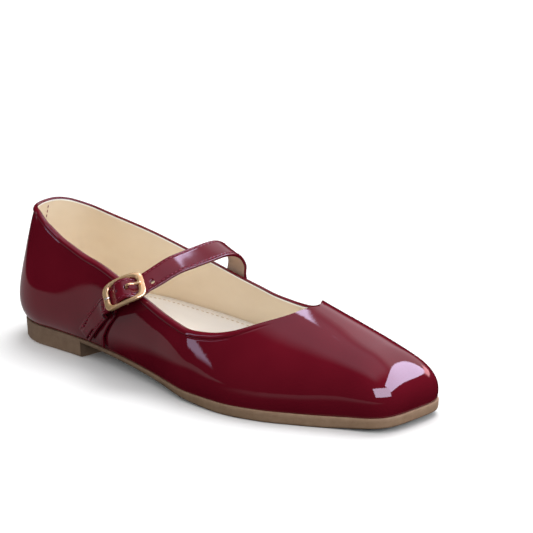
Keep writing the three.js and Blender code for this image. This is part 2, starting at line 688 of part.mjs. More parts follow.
const materials = {
  patent: { color: 0x5e0b1b, roughness: 0.12, metalness: 0 },
  rubber: { color: 0x7d6247, roughness: 0.7, metalness: 0 },
  lining: { color: 0xe9dcc3, roughness: 0.6, metalness: 0 },
  gold: { color: 0xd9a566, roughness: 0.25, metalness: 1 },
};
const group = new THREE.Group();
group.name = "mary_jane_flat_right";
function add(name, geometry, material) {
  geometry.computeVertexNormals();
  const mesh = new THREE.Mesh(geometry, new THREE.MeshStandardMaterial(materials[material]));
  mesh.name = name;
  group.add(mesh);
}
add("outsole", soleGeometry(), "rubber");
add("insole", insoleGeometry(), "lining");
add("upper", upperGeometry(), "patent");
add("strap", strapGeometry(), "patent");
add("buckle_tab", tabGeometry(), "patent");
add("buckle_frame", frameGeometry(), "gold");
add("buckle_prong", prongGeometry(), "gold");

// The origin is the middle of the shoe on the floor.
const box = new THREE.Box3().setFromObject(group);
group.position.set(-(box.min.x + box.max.x) / 2, -(box.min.y + box.max.y) / 2, -box.min.z);
group.updateMatrixWorld(true);

export default group;
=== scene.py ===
import math

import bmesh
import bpy
import numpy as np
from mathutils import Matrix, Vector


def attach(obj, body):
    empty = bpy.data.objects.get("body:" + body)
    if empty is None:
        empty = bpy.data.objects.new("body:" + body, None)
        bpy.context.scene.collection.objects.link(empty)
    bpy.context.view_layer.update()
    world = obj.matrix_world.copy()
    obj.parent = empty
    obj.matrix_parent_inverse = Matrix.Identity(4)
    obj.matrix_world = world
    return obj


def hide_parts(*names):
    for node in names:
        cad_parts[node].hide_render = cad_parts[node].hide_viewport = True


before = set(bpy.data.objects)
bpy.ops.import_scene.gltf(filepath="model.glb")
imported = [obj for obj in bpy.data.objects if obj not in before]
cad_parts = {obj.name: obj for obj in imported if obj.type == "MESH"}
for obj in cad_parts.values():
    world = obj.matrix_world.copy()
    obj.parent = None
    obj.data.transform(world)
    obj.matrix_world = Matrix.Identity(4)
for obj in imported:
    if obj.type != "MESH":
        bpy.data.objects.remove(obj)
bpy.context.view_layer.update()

# A square-toed patent mary jane for the right foot. Lengths are in millimetres until toRoom makes them
# metres, x runs from the heel to the toe, and -y is the lateral side.

# The last: the sizes and tables of the part's source, but for a slightly fuller toe in section
last = {
    "length": 245.5, "ballWidth": 76, "coneHeight": 86,
    "heelRound": 27, "heelPower": 2.15, "toeRound": 16, "toePower": 4, "toeSlant": 0.1,
    "spineHeel": 27, "spineToe": 24, "spineSoft": 6, "swellHeight": 13, "throat": 0.77,
}
shift = np.array([-121.8712, 4.5574, 0.0])
plan = {
    "at": [0.0, 0.12, 0.24, 0.35, 0.46, 0.57, 0.66, 0.75, 0.83, 0.91, 1.0],
    "lateral": [0.345, 0.345, 0.362, 0.412, 0.482, 0.558, 0.572, 0.52, 0.418, 0.3, 0.19],
    "medial": [0.335, 0.335, 0.333, 0.344, 0.372, 0.41, 0.44, 0.452, 0.43, 0.39, 0.35],
}
section = {
    "at": [0.0, 0.12, 0.25, 0.4, 0.52, 0.64, 0.74, 0.83, 0.91, 1.0],
    "crest": [1.02, 1.01, 0.97, 0.86, 0.75, 0.625, 0.53, 0.435, 0.34, 0.245],
    "ridge": [0.015, 0.015, 0.005, 0, 0, 0.005, 0.025, 0.045, 0.06, 0.07],
    "lateral": [2.3, 2.3, 2.5, 2.3, 2.15, 2.0, 1.95, 2.1, 2.7, 3.0],
    "medial": [2.3, 2.3, 2.3, 2.4, 2.3, 2.05, 1.85, 2.1, 2.7, 3.0],
    "lateralSwell": [0.055, 0.055, 0.032, 0.024, 0.018, 0.016, 0.016, 0.016, 0.016, 0.016],
    "medialSwell": [0.045, 0.045, 0.04, 0.042, 0.034, 0.02, 0.016, 0.016, 0.016, 0.016],
}
collar = {
    "at": [0.0, 0.05, 0.11, 0.17, 0.25, 0.36, 0.46, 0.55, 0.61, 0.66, 0.71, 0.745, 0.77],
    "lateral": [0.447, 0.452, 0.402, 0.343, 0.299, 0.293, 0.293, 0.315, 0.369, 0.452, 0.6, 0.75, 1],
    "medial": [0.447, 0.404, 0.374, 0.361, 0.352, 0.327, 0.316, 0.328, 0.36, 0.41, 0.555, 0.78, 1],
}
bottom = {
    "at": [0.0, 0.15, 0.26, 0.4, 0.5, 0.58, 0.68, 0.77, 0.85, 0.93, 1.0],
    "feather": [0.123, 0.121, 0.114, 0.098, 0.08, 0.067, 0.067, 0.07, 0.071, 0.079, 0.093],
    "under": [0.095, 0.093, 0.084, 0.065, 0.04, 0.012, -0.004, -0.016, -0.004, 0.013, 0.03],
}
padding = {"at": [0.0, 0.18, 0.3, 0.45, 0.65, 1.0], "thick": [0.055, 0.068, 0.09, 0.085, 0.06, 0.035]}


def curveOf(table, column):  # smooth curve through a table's column that never overshoots
    xs, ys = np.array(table["at"], float), np.array(table[column], float)
    slope = np.diff(ys) / np.diff(xs)
    tangent = np.empty(len(xs))
    tangent[0], tangent[-1] = slope[0], slope[-1]
    before, after = slope[:-1], slope[1:]
    turning = before * after <= 0
    tangent[1:-1] = np.where(turning, 0, 2 * before * after / np.where(turning, 1, before + after))

    def value(x):
        x = np.asarray(x, float)
        i = np.clip(np.searchsorted(xs, x, side="right") - 1, 0, len(xs) - 2)
        width = xs[i + 1] - xs[i]
        s = np.clip((x - xs[i]) / width, 0, 1)
        return (ys[i] * (1 - s) ** 2 * (1 + 2 * s) + ys[i + 1] * s * s * (3 - 2 * s)
                + tangent[i] * width * s * (1 - s) ** 2 - tangent[i + 1] * width * s * s * (1 - s))

    return value


def sideCurves(table, ending=""):
    return {side: curveOf(table, side + ending) for side in ("lateral", "medial")}


planOf, archOf, collarOf = sideCurves(plan), sideCurves(section), sideCurves(collar)
swellOf = sideCurves(section, "Swell")
ridgeShare = curveOf(section, "ridge")


def sided(curves, side, at):
    return np.where(side < 0, curves["lateral"](at), curves["medial"](at))


def heightOf(table, column):  # a column of shares of the cone's height, as a height in mm at x
    share = curveOf(table, column)
    return lambda x: share(x / last["length"]) * last["coneHeight"]


crestAt, padAt = heightOf(section, "crest"), heightOf(padding, "thick")
featherAt, underAt = heightOf(bottom, "feather"), heightOf(bottom, "under")


def smooth(x, low, high):
    s = np.clip((np.asarray(x, float) - low) / (high - low), 0, 1)
    return s * s * (3 - 2 * s)


def unitRows(rows):
    return rows / np.linalg.norm(rows, axis=1)[:, None]


def toRoom(points):
    return (np.asarray(points, float) + shift) * 0.001


def edgeRun():  # x and opening of the feather line against the run along it
    turn = np.radians(np.arange(0, 90.01, 0.5))
    heel, toe = 2 / last["heelPower"], 2 / last["toePower"]
    sine, cosine = np.clip(np.sin(turn), 0, 1), np.clip(np.cos(turn), 0, 1)
    x = np.r_[last["heelRound"] * (1 - cosine ** heel), last["length"] - last["toeRound"] * (1 - sine ** toe)]
    reach = np.r_[sine ** heel, cosine ** toe]
    step = np.hypot(np.diff(x), 0.33 * last["ballWidth"] * np.diff(reach))
    return x, reach, np.r_[0, np.cumsum(step)]


edgeX, edgeReach, edgeLength = edgeRun()


def stationsAt(share):
    run = np.asarray(share, float) * edgeLength[-1]
    return np.interp(run, edgeLength, edgeX), np.interp(run, edgeLength, edgeReach)


def ringOf(lateralShares, medialShares):  # the lateral side from heel to toe, then the medial side back
    x1, r1 = stationsAt(lateralShares)
    x2, r2 = stationsAt(medialShares[1:-1][::-1])
    side = np.r_[-np.ones(len(x1)), np.ones(len(x2))]
    return {"x": np.r_[x1, x2], "reach": np.r_[r1, r2], "side": side}


def evenRing():
    shares = np.linspace(0, 1, 161)
    return ringOf(shares, shares)


def featherPoints(ring):
    at = ring["x"] / last["length"]
    lateral, medial = planOf["lateral"](at), planOf["medial"](at)
    half = np.where(ring["side"] < 0, lateral, medial)
    middle = (medial - lateral) / 2 * (1 - ring["reach"])
    y = last["ballWidth"] * (middle + ring["side"] * half * ring["reach"])
    lead = last["toeSlant"] * y * smooth(ring["x"], 0.7 * last["length"], last["length"])
    return np.stack([ring["x"] + lead, y], 1)


def ribsOf(ring, inset):  # from each foot, that far inside the feather line, to its place on the spine
    feet = featherPoints(ring)
    along = unitRows(np.roll(feet, -1, 0) - np.roll(feet, 1, 0))
    foot = feet + np.stack([-along[:, 1], along[:, 0]], 1) * inset

    def ramp(x):
        return last["spineSoft"] * np.log1p(np.exp(np.clip(x / last["spineSoft"], -60, 60)))

    start, stop = last["spineHeel"], last["length"] - last["spineToe"]
    x = start + ramp(ring["x"] - start) - ramp(ring["x"] - stop)
    spine = np.stack([x, ridgeShare(x / last["length"]) * last["ballWidth"]], 1)
    return {**ring, "foot": foot, "spine": spine}


def onLast(rib, climb, lower=0.0, out=0.0):  # climb is 0 at the feather line, 1 at the ridge
    climb = np.broadcast_to(np.asarray(climb, float), rib["x"].shape)
    power = 2 / sided(archOf, rib["side"], rib["spine"][:, 0] / last["length"])
    turn = np.clip(climb, 0, 1) * math.pi / 2
    near = np.where(climb >= 1, 0, np.clip(np.cos(turn), 0, 1) ** power)
    arm = rib["foot"] - rib["spine"]
    x = rib["spine"][:, 0] + arm[:, 0] * near
    rise = (crestAt(x) - lower) * np.sin(turn) ** power
    share = rise / last["swellHeight"]
    swell = sided(swellOf, rib["side"], rib["x"] / last["length"])
    push = near * share * np.exp(1 - share) * swell * last["ballWidth"] + out
    place = rib["spine"] + arm * near[:, None] + unitRows(arm) * push[:, None]
    return np.column_stack([place, featherAt(x) + rise])


def collarAt(rib):
    at = rib["x"] / last["length"]
    return np.where(at >= last["throat"] - 1e-8, 1, sided(collarOf, rib["side"], at))


# Finishes. A noise is its scale, detail, roughness and stretch. tones are two colours, and places is where
# they stand on a ramp. Each bump is a noise, its strength and its height in mm, the first one nearest the
# surface.
finishes = {
    "patent": {
        "tones": ((0.125, 0.005, 0.0135), (0.155, 0.007, 0.017)), "places": (0.35, 0.65),
        "toneNoise": (26, 2.0), "roughness": (0.42, 0.55), "roughNoise": (420,),
        "specular": 0.0, "coatRoughness": 0.02,
        "bumps": (((45, 1.5), 1.0, 0.09), ((900, 2.0), 0.25, 0.02)),
    },
    "lining_leather": {
        "tones": ((0.78, 0.65, 0.475), (0.88, 0.76, 0.58)),
        "toneNoise": (18, 3.0, 0.6, (1, 1, 2)),
        "roughness": (0.48, 0.66), "roughNoise": (300,), "specular": 0.35,
        "bumps": (((38, 3.0, 0.55, (1, 1, 0.35)), 0.55, 0.5), ((1500, 2.0), 0.3, 0.06)),
    },
    "lining_edge": {
        "tones": ((0.95, 0.91, 0.83), (0.97, 0.95, 0.89)), "toneNoise": (120,),
        "roughness": (0.5,), "specular": 0.35, "bumps": (((1400, 2.0), 0.3, 0.05),),
    },
    "insole_leather": {
        "tones": ((0.93, 0.895, 0.85), (0.97, 0.955, 0.925)), "toneNoise": (22,),
        "roughness": (0.36, 0.5), "roughNoise": (260,), "specular": 0.4,
        "bumps": (((55, 1.5, 0.5, (1, 0.2, 1)), 1.0, 1.3), ((1300, 2.0), 0.25, 0.05)),
    },
    "sole_rubber": {
        "tones": ((0.27, 0.168, 0.1), (0.33, 0.215, 0.135)), "toneNoise": (240, 4.0, 0.6),
        # painted light and shade: the rubber's colour is made darker at the heel and brighter at the toe, as
        # the light falls along the sole
        "paintedLightHeelToToe": {"From Min": -0.1, "From Max": 0.12, "To Min": 0.62, "To Max": 1.45},  # m, brightness
        "roughness": (0.5, 0.72), "roughNoise": (90,), "specular": 0.3,
        "bumps": (((1100, 3.0), 0.4, 0.08), ((120, 2.0), 0.3, 0.15)),
    },
    "pale_gold": {
        "tones": ((0.9, 0.57, 0.28), (0.97, 0.68, 0.39)), "toneNoise": (160,),
        "roughness": (0.16, 0.24), "roughNoise": (300, 2.0), "metallic": 0.65,
    },
    "burgundy_thread": {
        "tones": ((0.2, 0.012, 0.03), (0.3, 0.025, 0.055)), "places": (0.35, 0.65), "toneNoise": (2200, 2.0),
        "roughness": (0.55,), "specular": 0.3, "bumps": (((3000, 2.0), 0.5, 0.05),),
    },
    "paper_floor": {
        "tones": ((0.93, 0.93, 0.93), (0.945, 0.945, 0.945)), "toneNoise": (3,),
        "roughness": (0.9,), "specular": 0.1,
    },
}
finishes["strap_patent"] = {
    **finishes["patent"], "coatRoughness": 0.12, "bumps": (((45, 1.5), 1.0, 0.072), ((900, 2.0), 0.25, 0.02)),
}
# painted shade: a darker copy of the lining leather for the strap's underside, which lies in shadow
finishes["strap_lining_painted_shade"] = {
    **finishes["lining_leather"], "tones": ((0.4, 0.27, 0.19), (0.5, 0.36, 0.26)),
}
finishes["bright_steel"] = {
    **finishes["pale_gold"], "roughness": (0.12, 0.2),
    "tones": ((0.62, 0.58, 0.52), (0.86, 0.82, 0.76)),
}
finishes["cream_thread"] = {
    **finishes["burgundy_thread"], "tones": ((0.62, 0.5, 0.37), (0.76, 0.66, 0.52)),
}


def setInputs(node, values):
    for socket, value in values.items():
        node.inputs[socket].default_value = value
    return node


def shaderNode(tree, kind, **values):
    return setInputs(tree.nodes.new("ShaderNode" + kind), values)


def wire(tree, *links):
    for source, output, target, socket in links:
        tree.links.new(source.outputs[output], target.inputs[socket])


def newMaterial(name, roughness, metallic=0.0, specular=0.5):
    material = bpy.data.materials.new(name)
    material.use_nodes = True
    shader = material.node_tree.nodes["Principled BSDF"]
    setInputs(shader, {"Roughness": roughness, "Metallic": metallic, "Specular IOR Level": specular})
    return material, material.node_tree, shader


def noiseNode(tree, scale, detail=3.0, rough=0.5, stretch=(1, 1, 1)):
    coordinates, mapping = shaderNode(tree, "TexCoord"), shaderNode(tree, "Mapping", Scale=stretch)
    noise = shaderNode(tree, "TexNoise", Scale=scale, Detail=detail, Roughness=rough)
    wire(tree, (coordinates, "Object", mapping, "Vector"), (mapping, "Vector", noise, "Vector"))
    return noise.outputs["Fac"]


def toneOf(tree, factor, tones, places):
    ramp = shaderNode(tree, "ValToRGB")
    for number, (place, colour) in enumerate(zip(places, tones)):
        ramp.color_ramp.elements[number].position = place
        ramp.color_ramp.elements[number].color = (*colour, 1)
    tree.links.new(factor, ramp.inputs["Fac"])
    return ramp.outputs["Color"]


# painted light and shade: scales a colour along x, as the light falls along the sole
def paintedLightAlong(tree, colour, ends):  # a colour made darker at the heel and brighter at the toe
    place, split = shaderNode(tree, "TexCoord"), shaderNode(tree, "SeparateXYZ")
    tone, toned = shaderNode(tree, "MapRange", **ends), shaderNode(tree, "VectorMath")
    toned.operation = "SCALE"
    wire(tree, (place, "Object", split, "Vector"), (split, "X", tone, "Value"))
    wire(tree, (tone, "Result", toned, "Scale"))
    tree.links.new(colour, toned.inputs[0])
    return toned.outputs["Vector"]


def spread(tree, factor, low, high):  # the middle of a noise spread over a range of numbers
    ends = {"From Min": 0.3, "From Max": 0.7, "To Min": low, "To Max": high}
    node = shaderNode(tree, "MapRange", **ends)
    tree.links.new(factor, node.inputs["Value"])
    return node.outputs["Result"]


def bumpOf(tree, layers):
    normal = None
    for noise, strength, height in layers:
        bump = shaderNode(tree, "Bump", Strength=strength, Distance=height * 0.001)
        tree.links.new(noiseNode(tree, *noise), bump.inputs["Height"])
        if normal:
            tree.links.new(normal, bump.inputs["Normal"])
        normal = bump.outputs["Normal"]
    return normal


def finishOf(name):
    look = finishes[name]
    plain = (look["roughness"][0], look.get("metallic", 0.0), look.get("specular", 0.5))
    material, tree, shader = newMaterial(name, *plain)
    colour = toneOf(tree, noiseNode(tree, *look["toneNoise"]), look["tones"], look.get("places", (0.3, 0.7)))
    if "paintedLightHeelToToe" in look:
        colour = paintedLightAlong(tree, colour, look["paintedLightHeelToToe"])
    tree.links.new(colour, shader.inputs["Base Color"])
    if "roughNoise" in look:
        rough = spread(tree, noiseNode(tree, *look["roughNoise"]), *look["roughness"])
        tree.links.new(rough, shader.inputs["Roughness"])
    if "bumps" in look:
        normal = bumpOf(tree, look["bumps"])
        tree.links.new(normal, shader.inputs["Normal"])
    if "coatRoughness" in look:
        setInputs(shader, {"Coat Weight": 1.0, "Coat Roughness": look["coatRoughness"]})
        tree.links.new(normal, shader.inputs["Coat Normal"])
    return material


patent, strapPatent = finishOf("patent"), finishOf("strap_patent")
lining, strapLiningPaintedShade, rim = finishOf("lining_leather"), finishOf("strap_lining_painted_shade"), finishOf("lining_edge")
insoleLeather, rubber = finishOf("insole_leather"), finishOf("sole_rubber")
gold, steel = finishOf("pale_gold"), finishOf("bright_steel")
redThread, creamThread = finishOf("burgundy_thread"), finishOf("cream_thread")
print("materials ready")


# Meshes
def putIn(name, data):  # an object of the scene
    piece = bpy.data.objects.new(name, data)
    bpy.context.collection.objects.link(piece)
    return piece


def makeMesh(name, points, faces, materials, slots=None, merge=0.0):
    mesh = bpy.data.meshes.new(name)
    mesh.from_pydata(points.tolist(), [], faces)
    for material in materials:
        mesh.materials.append(material)
    if slots is not None:
        mesh.polygons.foreach_set("material_index", np.asarray(slots, np.int32))
    piece = putIn(name, mesh)
    if merge:
        weldMesh(mesh, merge)
    mesh.polygons.foreach_set("use_smooth", np.ones(len(mesh.polygons), bool))
    mesh.update()
    return piece


def weldMesh(mesh, distance):
    work = bmesh.new()
    work.from_mesh(mesh)
    bmesh.ops.remove_doubles(work, verts=work.verts, dist=distance)
    bmesh.ops.dissolve_degenerate(work, edges=work.edges, dist=1e-7)
    work.to_mesh(mesh)
    work.free()


def turnOut(piece):  # a closed piece whose faces look inward is turned the other way round
    work = bmesh.new()
    work.from_mesh(piece.data)
    if work.calc_volume(signed=True) < 0:
        bmesh.ops.reverse_faces(work, faces=work.faces)
        work.to_mesh(piece.data)
    work.free()
    return piece


def ringFaces(rowCount, ringCount, closed=False, skip=None):
    faces, rows = [], []
    for r in range(rowCount if closed else rowCount - 1):
        low, high = r * ringCount, ((r + 1) % rowCount) * ringCount
        for i in range(ringCount):
            j = (i + 1) % ringCount
            if skip and skip(r, i):
                continue
            faces.append((low + i, low + j, high + j, high + i))
            rows.append(r)
    return faces, rows


def settle(piece, slotName, *nodes):
    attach(piece, "root")
    if nodes:
        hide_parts(*nodes)
    return piece


# Upper: the patent wall, its rolled binding, the cream edge and the lining, as one closed shell
upperLook = {
    "wall": 1.7, "stations": 230, "wallRows": 40, "liningRows": 30, "tucks": (1.2, 0.4), "tuckDrop": 0.2,
    "beadHeight": 0.62, "beadWidth": 3.4, "beadFade": (0.64, 0.75), "groove": 0.12,
    "turnIn": 0.9, "rimWidth": 1.1, "rimSink": 0.12, "innerRise": 0.018,
}
# The binding's section below the topline: share of its width up, share of its height out, or of the groove in
beadSection = [
    (0.02, -0.7), (0.05, -1.0), (0.08, -0.7), (0.13, 0.1), (0.2, 0.6), (0.32, 0.93), (0.45, 1.0),
    (0.6, 1.0), (0.74, 0.93), (0.85, 0.78), (0.93, 0.55), (0.98, 0.28),
]
# Over the topline: share of the way from the outer edge to the inner one, height in mm above that line
lipSection = [(0.3, 0.3), (0.5, 0.38), (0.52, 0.3), (0.75, 0.28), (0.95, 0.1)]
# Soft creases, one a column: place along the last, side, climb there, reach along in mm, reach in climb, lean
# of its line, depth in mm.
creases = {
    "along": [0.6, 0.585, 0.8, 0.13], "side": [-1, 1, 1, 1], "climb": [0.12, 0.18, 0.8, 0.3],
    "reach": [10, 9, 9, 6], "rise": [0.07, 0.1, 0.12, 0.08], "lean": [0.5, 0.4, 0.2, 0.3],
    "depth": [0.12, 0.35, 0.3, 0.25],
}


def creaseDepth(rib, climb):
    total = np.zeros(len(rib["x"]))
    for place, side, height, reach, tall, lean, depth in zip(*creases.values()):
        rise = (climb - height) / tall
        along = (rib["x"] - place * last["length"]) / reach - lean * rise
        total += np.where(rib["side"] == side, depth * np.exp(-along ** 2 - rise ** 2), 0)
    return total * (1 - smooth(climb, 0.8, 0.97))


def buildUpper():
    wall, sink = upperLook["wall"], upperLook["rimSink"]
    shares = np.linspace(0, 1, upperLook["stations"] + 1)
    throat = last["throat"] * last["length"]
    nearest = np.argmin(np.abs(stationsAt(shares)[0] - throat))
    shares[nearest] = np.interp(throat, edgeX, edgeLength) / edgeLength[-1]
    ring = ringOf(shares, shares)
    outer, inner = ribsOf(ring, 0), ribsOf(ring, wall)
    top = collarAt(outer)
    fade = 1 - smooth(ring["x"] / last["length"], *upperLook["beadFade"])
    edge = upperLook["beadWidth"] / np.linalg.norm(onLast(outer, 0) - onLast(outer, top), axis=1)
    rows, slots = [], []

    def addRow(points, slotIndex):
        rows.append(points)
        slots.append(slotIndex)

    for tuck in upperLook["tucks"]:
        addRow(onLast(ribsOf(ring, tuck), 0) - (0, 0, upperLook["tuckDrop"]), 0)
    for share in np.linspace(0, 1, upperLook["wallRows"]) ** 1.15:
        climb = share * top * (1 - edge)
        addRow(onLast(outer, climb, 0, -creaseDepth(outer, climb)), 0)
    for up, out in beadSection:
        depth = fade * out * (upperLook["beadHeight"] if out > 0 else upperLook["groove"])
        addRow(onLast(outer, top * (1 - edge * (1 - up)), 0, depth), 0)
    addRow(onLast(outer, top, 0, 0), 0)
    rimRow = len(rows) - 1
    topInner = top + upperLook["innerRise"] * (1 - top)
    high, low = onLast(outer, top), onLast(inner, topInner, wall)
    joined = top >= 1
    for share, lift in lipSection:
        place = high + (low - high) * share
        place[:, 2] += np.where(joined, 0, lift)
        addRow(place, 0)
    inside = len(rows)
    height = np.linalg.norm(onLast(inner, 0) - low, axis=1)
    turned, edged = upperLook["turnIn"] / height, (upperLook["turnIn"] + upperLook["rimWidth"]) / height
    for share in (0.0, 0.5, 1.0):
        addRow(onLast(inner, topInner * (1 - turned * share), wall, 0), 0)
    for share in (0.0, 0.5, 1.0):
        addRow(onLast(inner, topInner * (1 - turned - (edged - turned) * share), wall, -sink), 1)
    for share in np.linspace(0.99, 0, upperLook["liningRows"]):
        climb = share * topInner * (1 - edged)
        depth = creaseDepth(inner, climb) + sink * smooth(share, 0.9, 1.0)
        addRow(onLast(inner, climb, wall, -depth), 2)
    count = len(ring["x"])

    def skip(r, i):  # past the throat both walls meet on the ridge, and nothing joins them
        return rimRow <= r < inside and joined[i] and joined[(i + 1) % count]

    faces, rowOf = ringFaces(len(rows), count, True, skip)
    slotOf = [max(slots[r], slots[(r + 1) % len(rows)]) if r < len(rows) - 1 else 2 for r in rowOf]
    piece = makeMesh("patent_upper", toRoom(np.vstack(rows)), faces, [patent, rim, lining], slotOf, 2e-6)
    return settle(turnOut(piece), "patent", "upper")


upperPiece = buildUpper()
print("upper", len(upperPiece.data.polygons))


# Outsole with its moulded heel
soleLook = {
    "margin": 0.9, "taper": 0.4, "under": 1.6, "sink": 0.06, "heelBlock": 54, "breastSlant": 0.18,
    "heelSteps": 60, "frontSteps": 140, "columns": 16, "sharpCorner": 38,
}


def groundAt(x, heel):
    return np.where(heel, 0, np.maximum(0, underAt(x)))


def buildSole():
    middle = soleLook["heelBlock"] + soleLook["breastSlant"] * 0.36 * last["ballWidth"]
    margin, taper, sink = soleLook["margin"], soleLook["taper"], soleLook["sink"]
    heelSteps, columns = soleLook["heelSteps"], soleLook["columns"]

    def sharesOf(side):  # closer steps behind the breast, whose place on this side is found first
        tries = np.linspace(0.05, 0.6, 4000)
        x, reach = stationsAt(tries)
        points = featherPoints({"x": x, "reach": reach, "side": np.full(len(x), side)})
        at = tries[np.argmin(np.abs(points[:, 0] - middle - soleLook["breastSlant"] * points[:, 1]))]
        return np.r_[np.linspace(0, at, heelSteps), at, np.linspace(at, 1, soleLook["frontSteps"])[1:]]

    ring = ringOf(sharesOf(-1), sharesOf(1))
    count, half = len(ring["x"]), heelSteps + soleLook["frontSteps"]
    heel = np.zeros(count, bool)
    heel[:heelSteps] = heel[1 - heelSteps:] = True
    # The edge from top to bottom: how far inside the feather line, what its height is from, and that height
    edgeRows = [(soleLook["under"], "top", 0), (0.5 - margin, "top", 0), (0.12 - margin, "top", 0.12),
                (-margin, "top", 0.45), (0.1 - margin, "share", 0.35), (0.3 - margin, "share", 0.7),
                (taper - margin, "low", 0.9), (taper - margin + 0.25, "low", 0.35),
                (taper - margin + 0.9, "low", 0)]
    rows = []
    for inset, kind, value in edgeRows:
        foot = ribsOf(ring, inset)["foot"]
        top, low = featherAt(foot[:, 0]) - sink, groundAt(foot[:, 0], heel)
        z = {"top": top - value, "share": top + (low - top) * value, "low": low + value}[kind]
        rows.append(np.column_stack([foot, z]))
    faces, _ = ringFaces(len(rows), count)
    points = [np.vstack(rows)]

    def across(row, upward):  # a grid of columns from the lateral edge to the medial edge
        lateral = row[:half]
        medial = np.vstack([row[:1], row[half:][::-1], row[half - 1:half]])
        inner = []
        for c in range(1, columns):
            line = lateral + (medial - lateral) * (c / columns)
            line[:, 2] = featherAt(line[:, 0]) - sink if upward else groundAt(line[:, 0], heel[:half])
            inner.append(line)
        return inner

    for rowIndex, upward in ((0, True), (len(rows) - 1, False)):
        start = sum(len(p) for p in points)
        points.extend(across(rows[rowIndex], upward))

        def index(c, i):
            if c == 0:
                return rowIndex * count + i
            if c == columns:  # the medial edge runs back, and shares its ends with the lateral one
                return rowIndex * count + (i if i == half - 1 else (count - i) % count)
            return start + (c - 1) * half + i

        for c in range(columns):
            for i in range(half - 1):
                quad = (index(c, i), index(c, i + 1), index(c + 1, i + 1), index(c + 1, i))
                faces.append(quad if upward else quad[::-1])
    piece = makeMesh("moulded_outsole", toRoom(np.vstack(points)), faces, [rubber], None, 1e-6)
    sharp = piece.modifiers.new("corners", "EDGE_SPLIT")
    sharp.split_angle = math.radians(soleLook["sharpCorner"])
    return settle(turnOut(piece), "rubber", "outsole")


solePiece = buildSole()
print("outsole", len(solePiece.data.polygons))


# Insole: a padded sock, dished, with its edge a little up the walls
insoleLook = {
    "cup": 4.5, "cupFade": (0.5, 0.85), "inset": 1.85, "edgeRound": 0.8, "stitchIn": 2.4,
    "wallShares": (0, 0.3, 0.6, 0.85), "dishRows": 26, "dishBlend": (0.05, 0.3), "edgeFall": 1.5,
}


def insoleEdge(x):
    return padAt(x) + insoleLook["cup"] * (1 - smooth(x / last["length"], *insoleLook["cupFade"]))


def insoleWall(rib, share, inset):  # up the inner wall, to a share of the height of the edge
    height = insoleEdge(rib["foot"][:, 0]) * share
    low, high = np.zeros(len(height)), np.ones(len(height))
    for _ in range(24):
        half = (low + high) / 2
        under = onLast(rib, half, upperLook["wall"])[:, 2] - featherAt(rib["foot"][:, 0]) < height
        low, high = np.where(under, half, low), np.where(under, high, half)
    point = onLast(rib, low, upperLook["wall"])
    point[:, :2] += unitRows(rib["spine"] - rib["foot"]) * inset
    return point


def insoleDish(rib, reach):
    place = rib["foot"] + (rib["spine"] - rib["foot"]) * np.asarray(reach).reshape(-1, 1)
    lift = (1 - smooth(reach, 0, 0.75)) ** 2
    cup = insoleEdge(rib["foot"][:, 0]) - padAt(rib["foot"][:, 0])
    return np.column_stack([place, featherAt(place[:, 0]) + padAt(place[:, 0]) + lift * cup])


def buildInsole():
    rib = ribsOf(evenRing(), insoleLook["inset"])
    start = insoleWall(rib, 1.0, insoleLook["edgeRound"])
    rows = [insoleWall(rib, share, 0) for share in insoleLook["wallShares"]]
    rows += [insoleWall(rib, 0.95, 0.25), start]
    for reach in np.linspace(0.1, 1, insoleLook["dishRows"]):  # from the rounded edge into the dish
        target = insoleDish(rib, np.full(len(rib["x"]), reach))
        blend = smooth(reach, *insoleLook["dishBlend"])
        flat = np.column_stack([target[:, :2], start[:, 2] - insoleLook["edgeFall"] * reach])
        rows.append(flat * (1 - blend) + target * blend)
    rows.reverse()
    for reach in (0.0, 0.5, 1.0):
        place = rib["foot"] + (rib["spine"] - rib["foot"]) * reach
        rows.append(np.column_stack([place, featherAt(place[:, 0])]))
    faces, _ = ringFaces(len(rows), len(rib["x"]))
    piece = makeMesh("padded_insole", toRoom(np.vstack(rows)), faces, [insoleLeather], None, 2e-6)
    piece = settle(turnOut(piece), "lining", "insole")
    return piece


insolePiece = buildInsole()
print("insole", len(insolePiece.data.polygons))


# Walls, bands and the buckle's own axes. Tables give places as shares of the last's length, ball width and
# cone height, as in the part's source.
strapLook = {
    "thickness": 1.6, "width": 12.4, "endWidth": 9.4, "crowned": 0.12, "groove": 0.16, "spare": 0.45,
    "offWall": 0.75, "leave": (17.8, -3.0, -4.8), "pinch": 0.2, "past": 1.2,
    "holes": ((2.7, 0, 0, 1.25), (-2.6, 0, 0, 0.5), (15.2, 0.2, -5.4, 1.25)),  # along, across, up, radius
}
tabLook = {
    "thickness": 1.1, "top": 9.5, "foot": 16, "offWall": 0.2, "flare": (-0.25, 0.45), "loop": (250, 501, 25),
}
buckleLook = {
    "length": 23.5, "width": 16.8, "endBand": 3.4, "sideBand": 2.2, "thickness": 1.7, "bend": 36,
    "squareness": 4.2, "bar": 0.7, "barReach": 7.6, "barLevel": -2, "prong": 0.6, "gap": 0.3,
}
seat = {
    "along": 0.379, "out": -0.476, "up": 0.546, "face": (0.088, -0.716, 0.693), "run": (0.733, 0.518, 0.443),
}
arch = {
    "along": [0.422, 0.439, 0.45, 0.459, 0.463, 0.462, 0.46, 0.459],
    "out": [-0.292, -0.191, -0.072, 0.047, 0.2, 0.29, 0.352, 0.386],
    "up": [0.626, 0.667, 0.687, 0.701, 0.703, 0.677, 0.63, 0.57],
    "turn": [-34, -24, -14, -5, 14, 38, 60, 78],
    "lean": [12, 20, 25, 28, 26, 20, 10, 4],
}
freeEnd = {"along": [0.256, 0.284, 0.312], "up": [0.19, 0.28, 0.37]}
tabLine = {"along": [0.281, 0.292, 0.31, 0.33], "up": [0.168, 0.23, 0.31, 0.38]}
medialEnd = {"along": [0.459, 0.462, 0.466, 0.47], "up": [0.5, 0.38, 0.25, 0.13]}


def unitOf(vector):
    vector = np.asarray(vector, float)
    return vector / np.linalg.norm(vector)


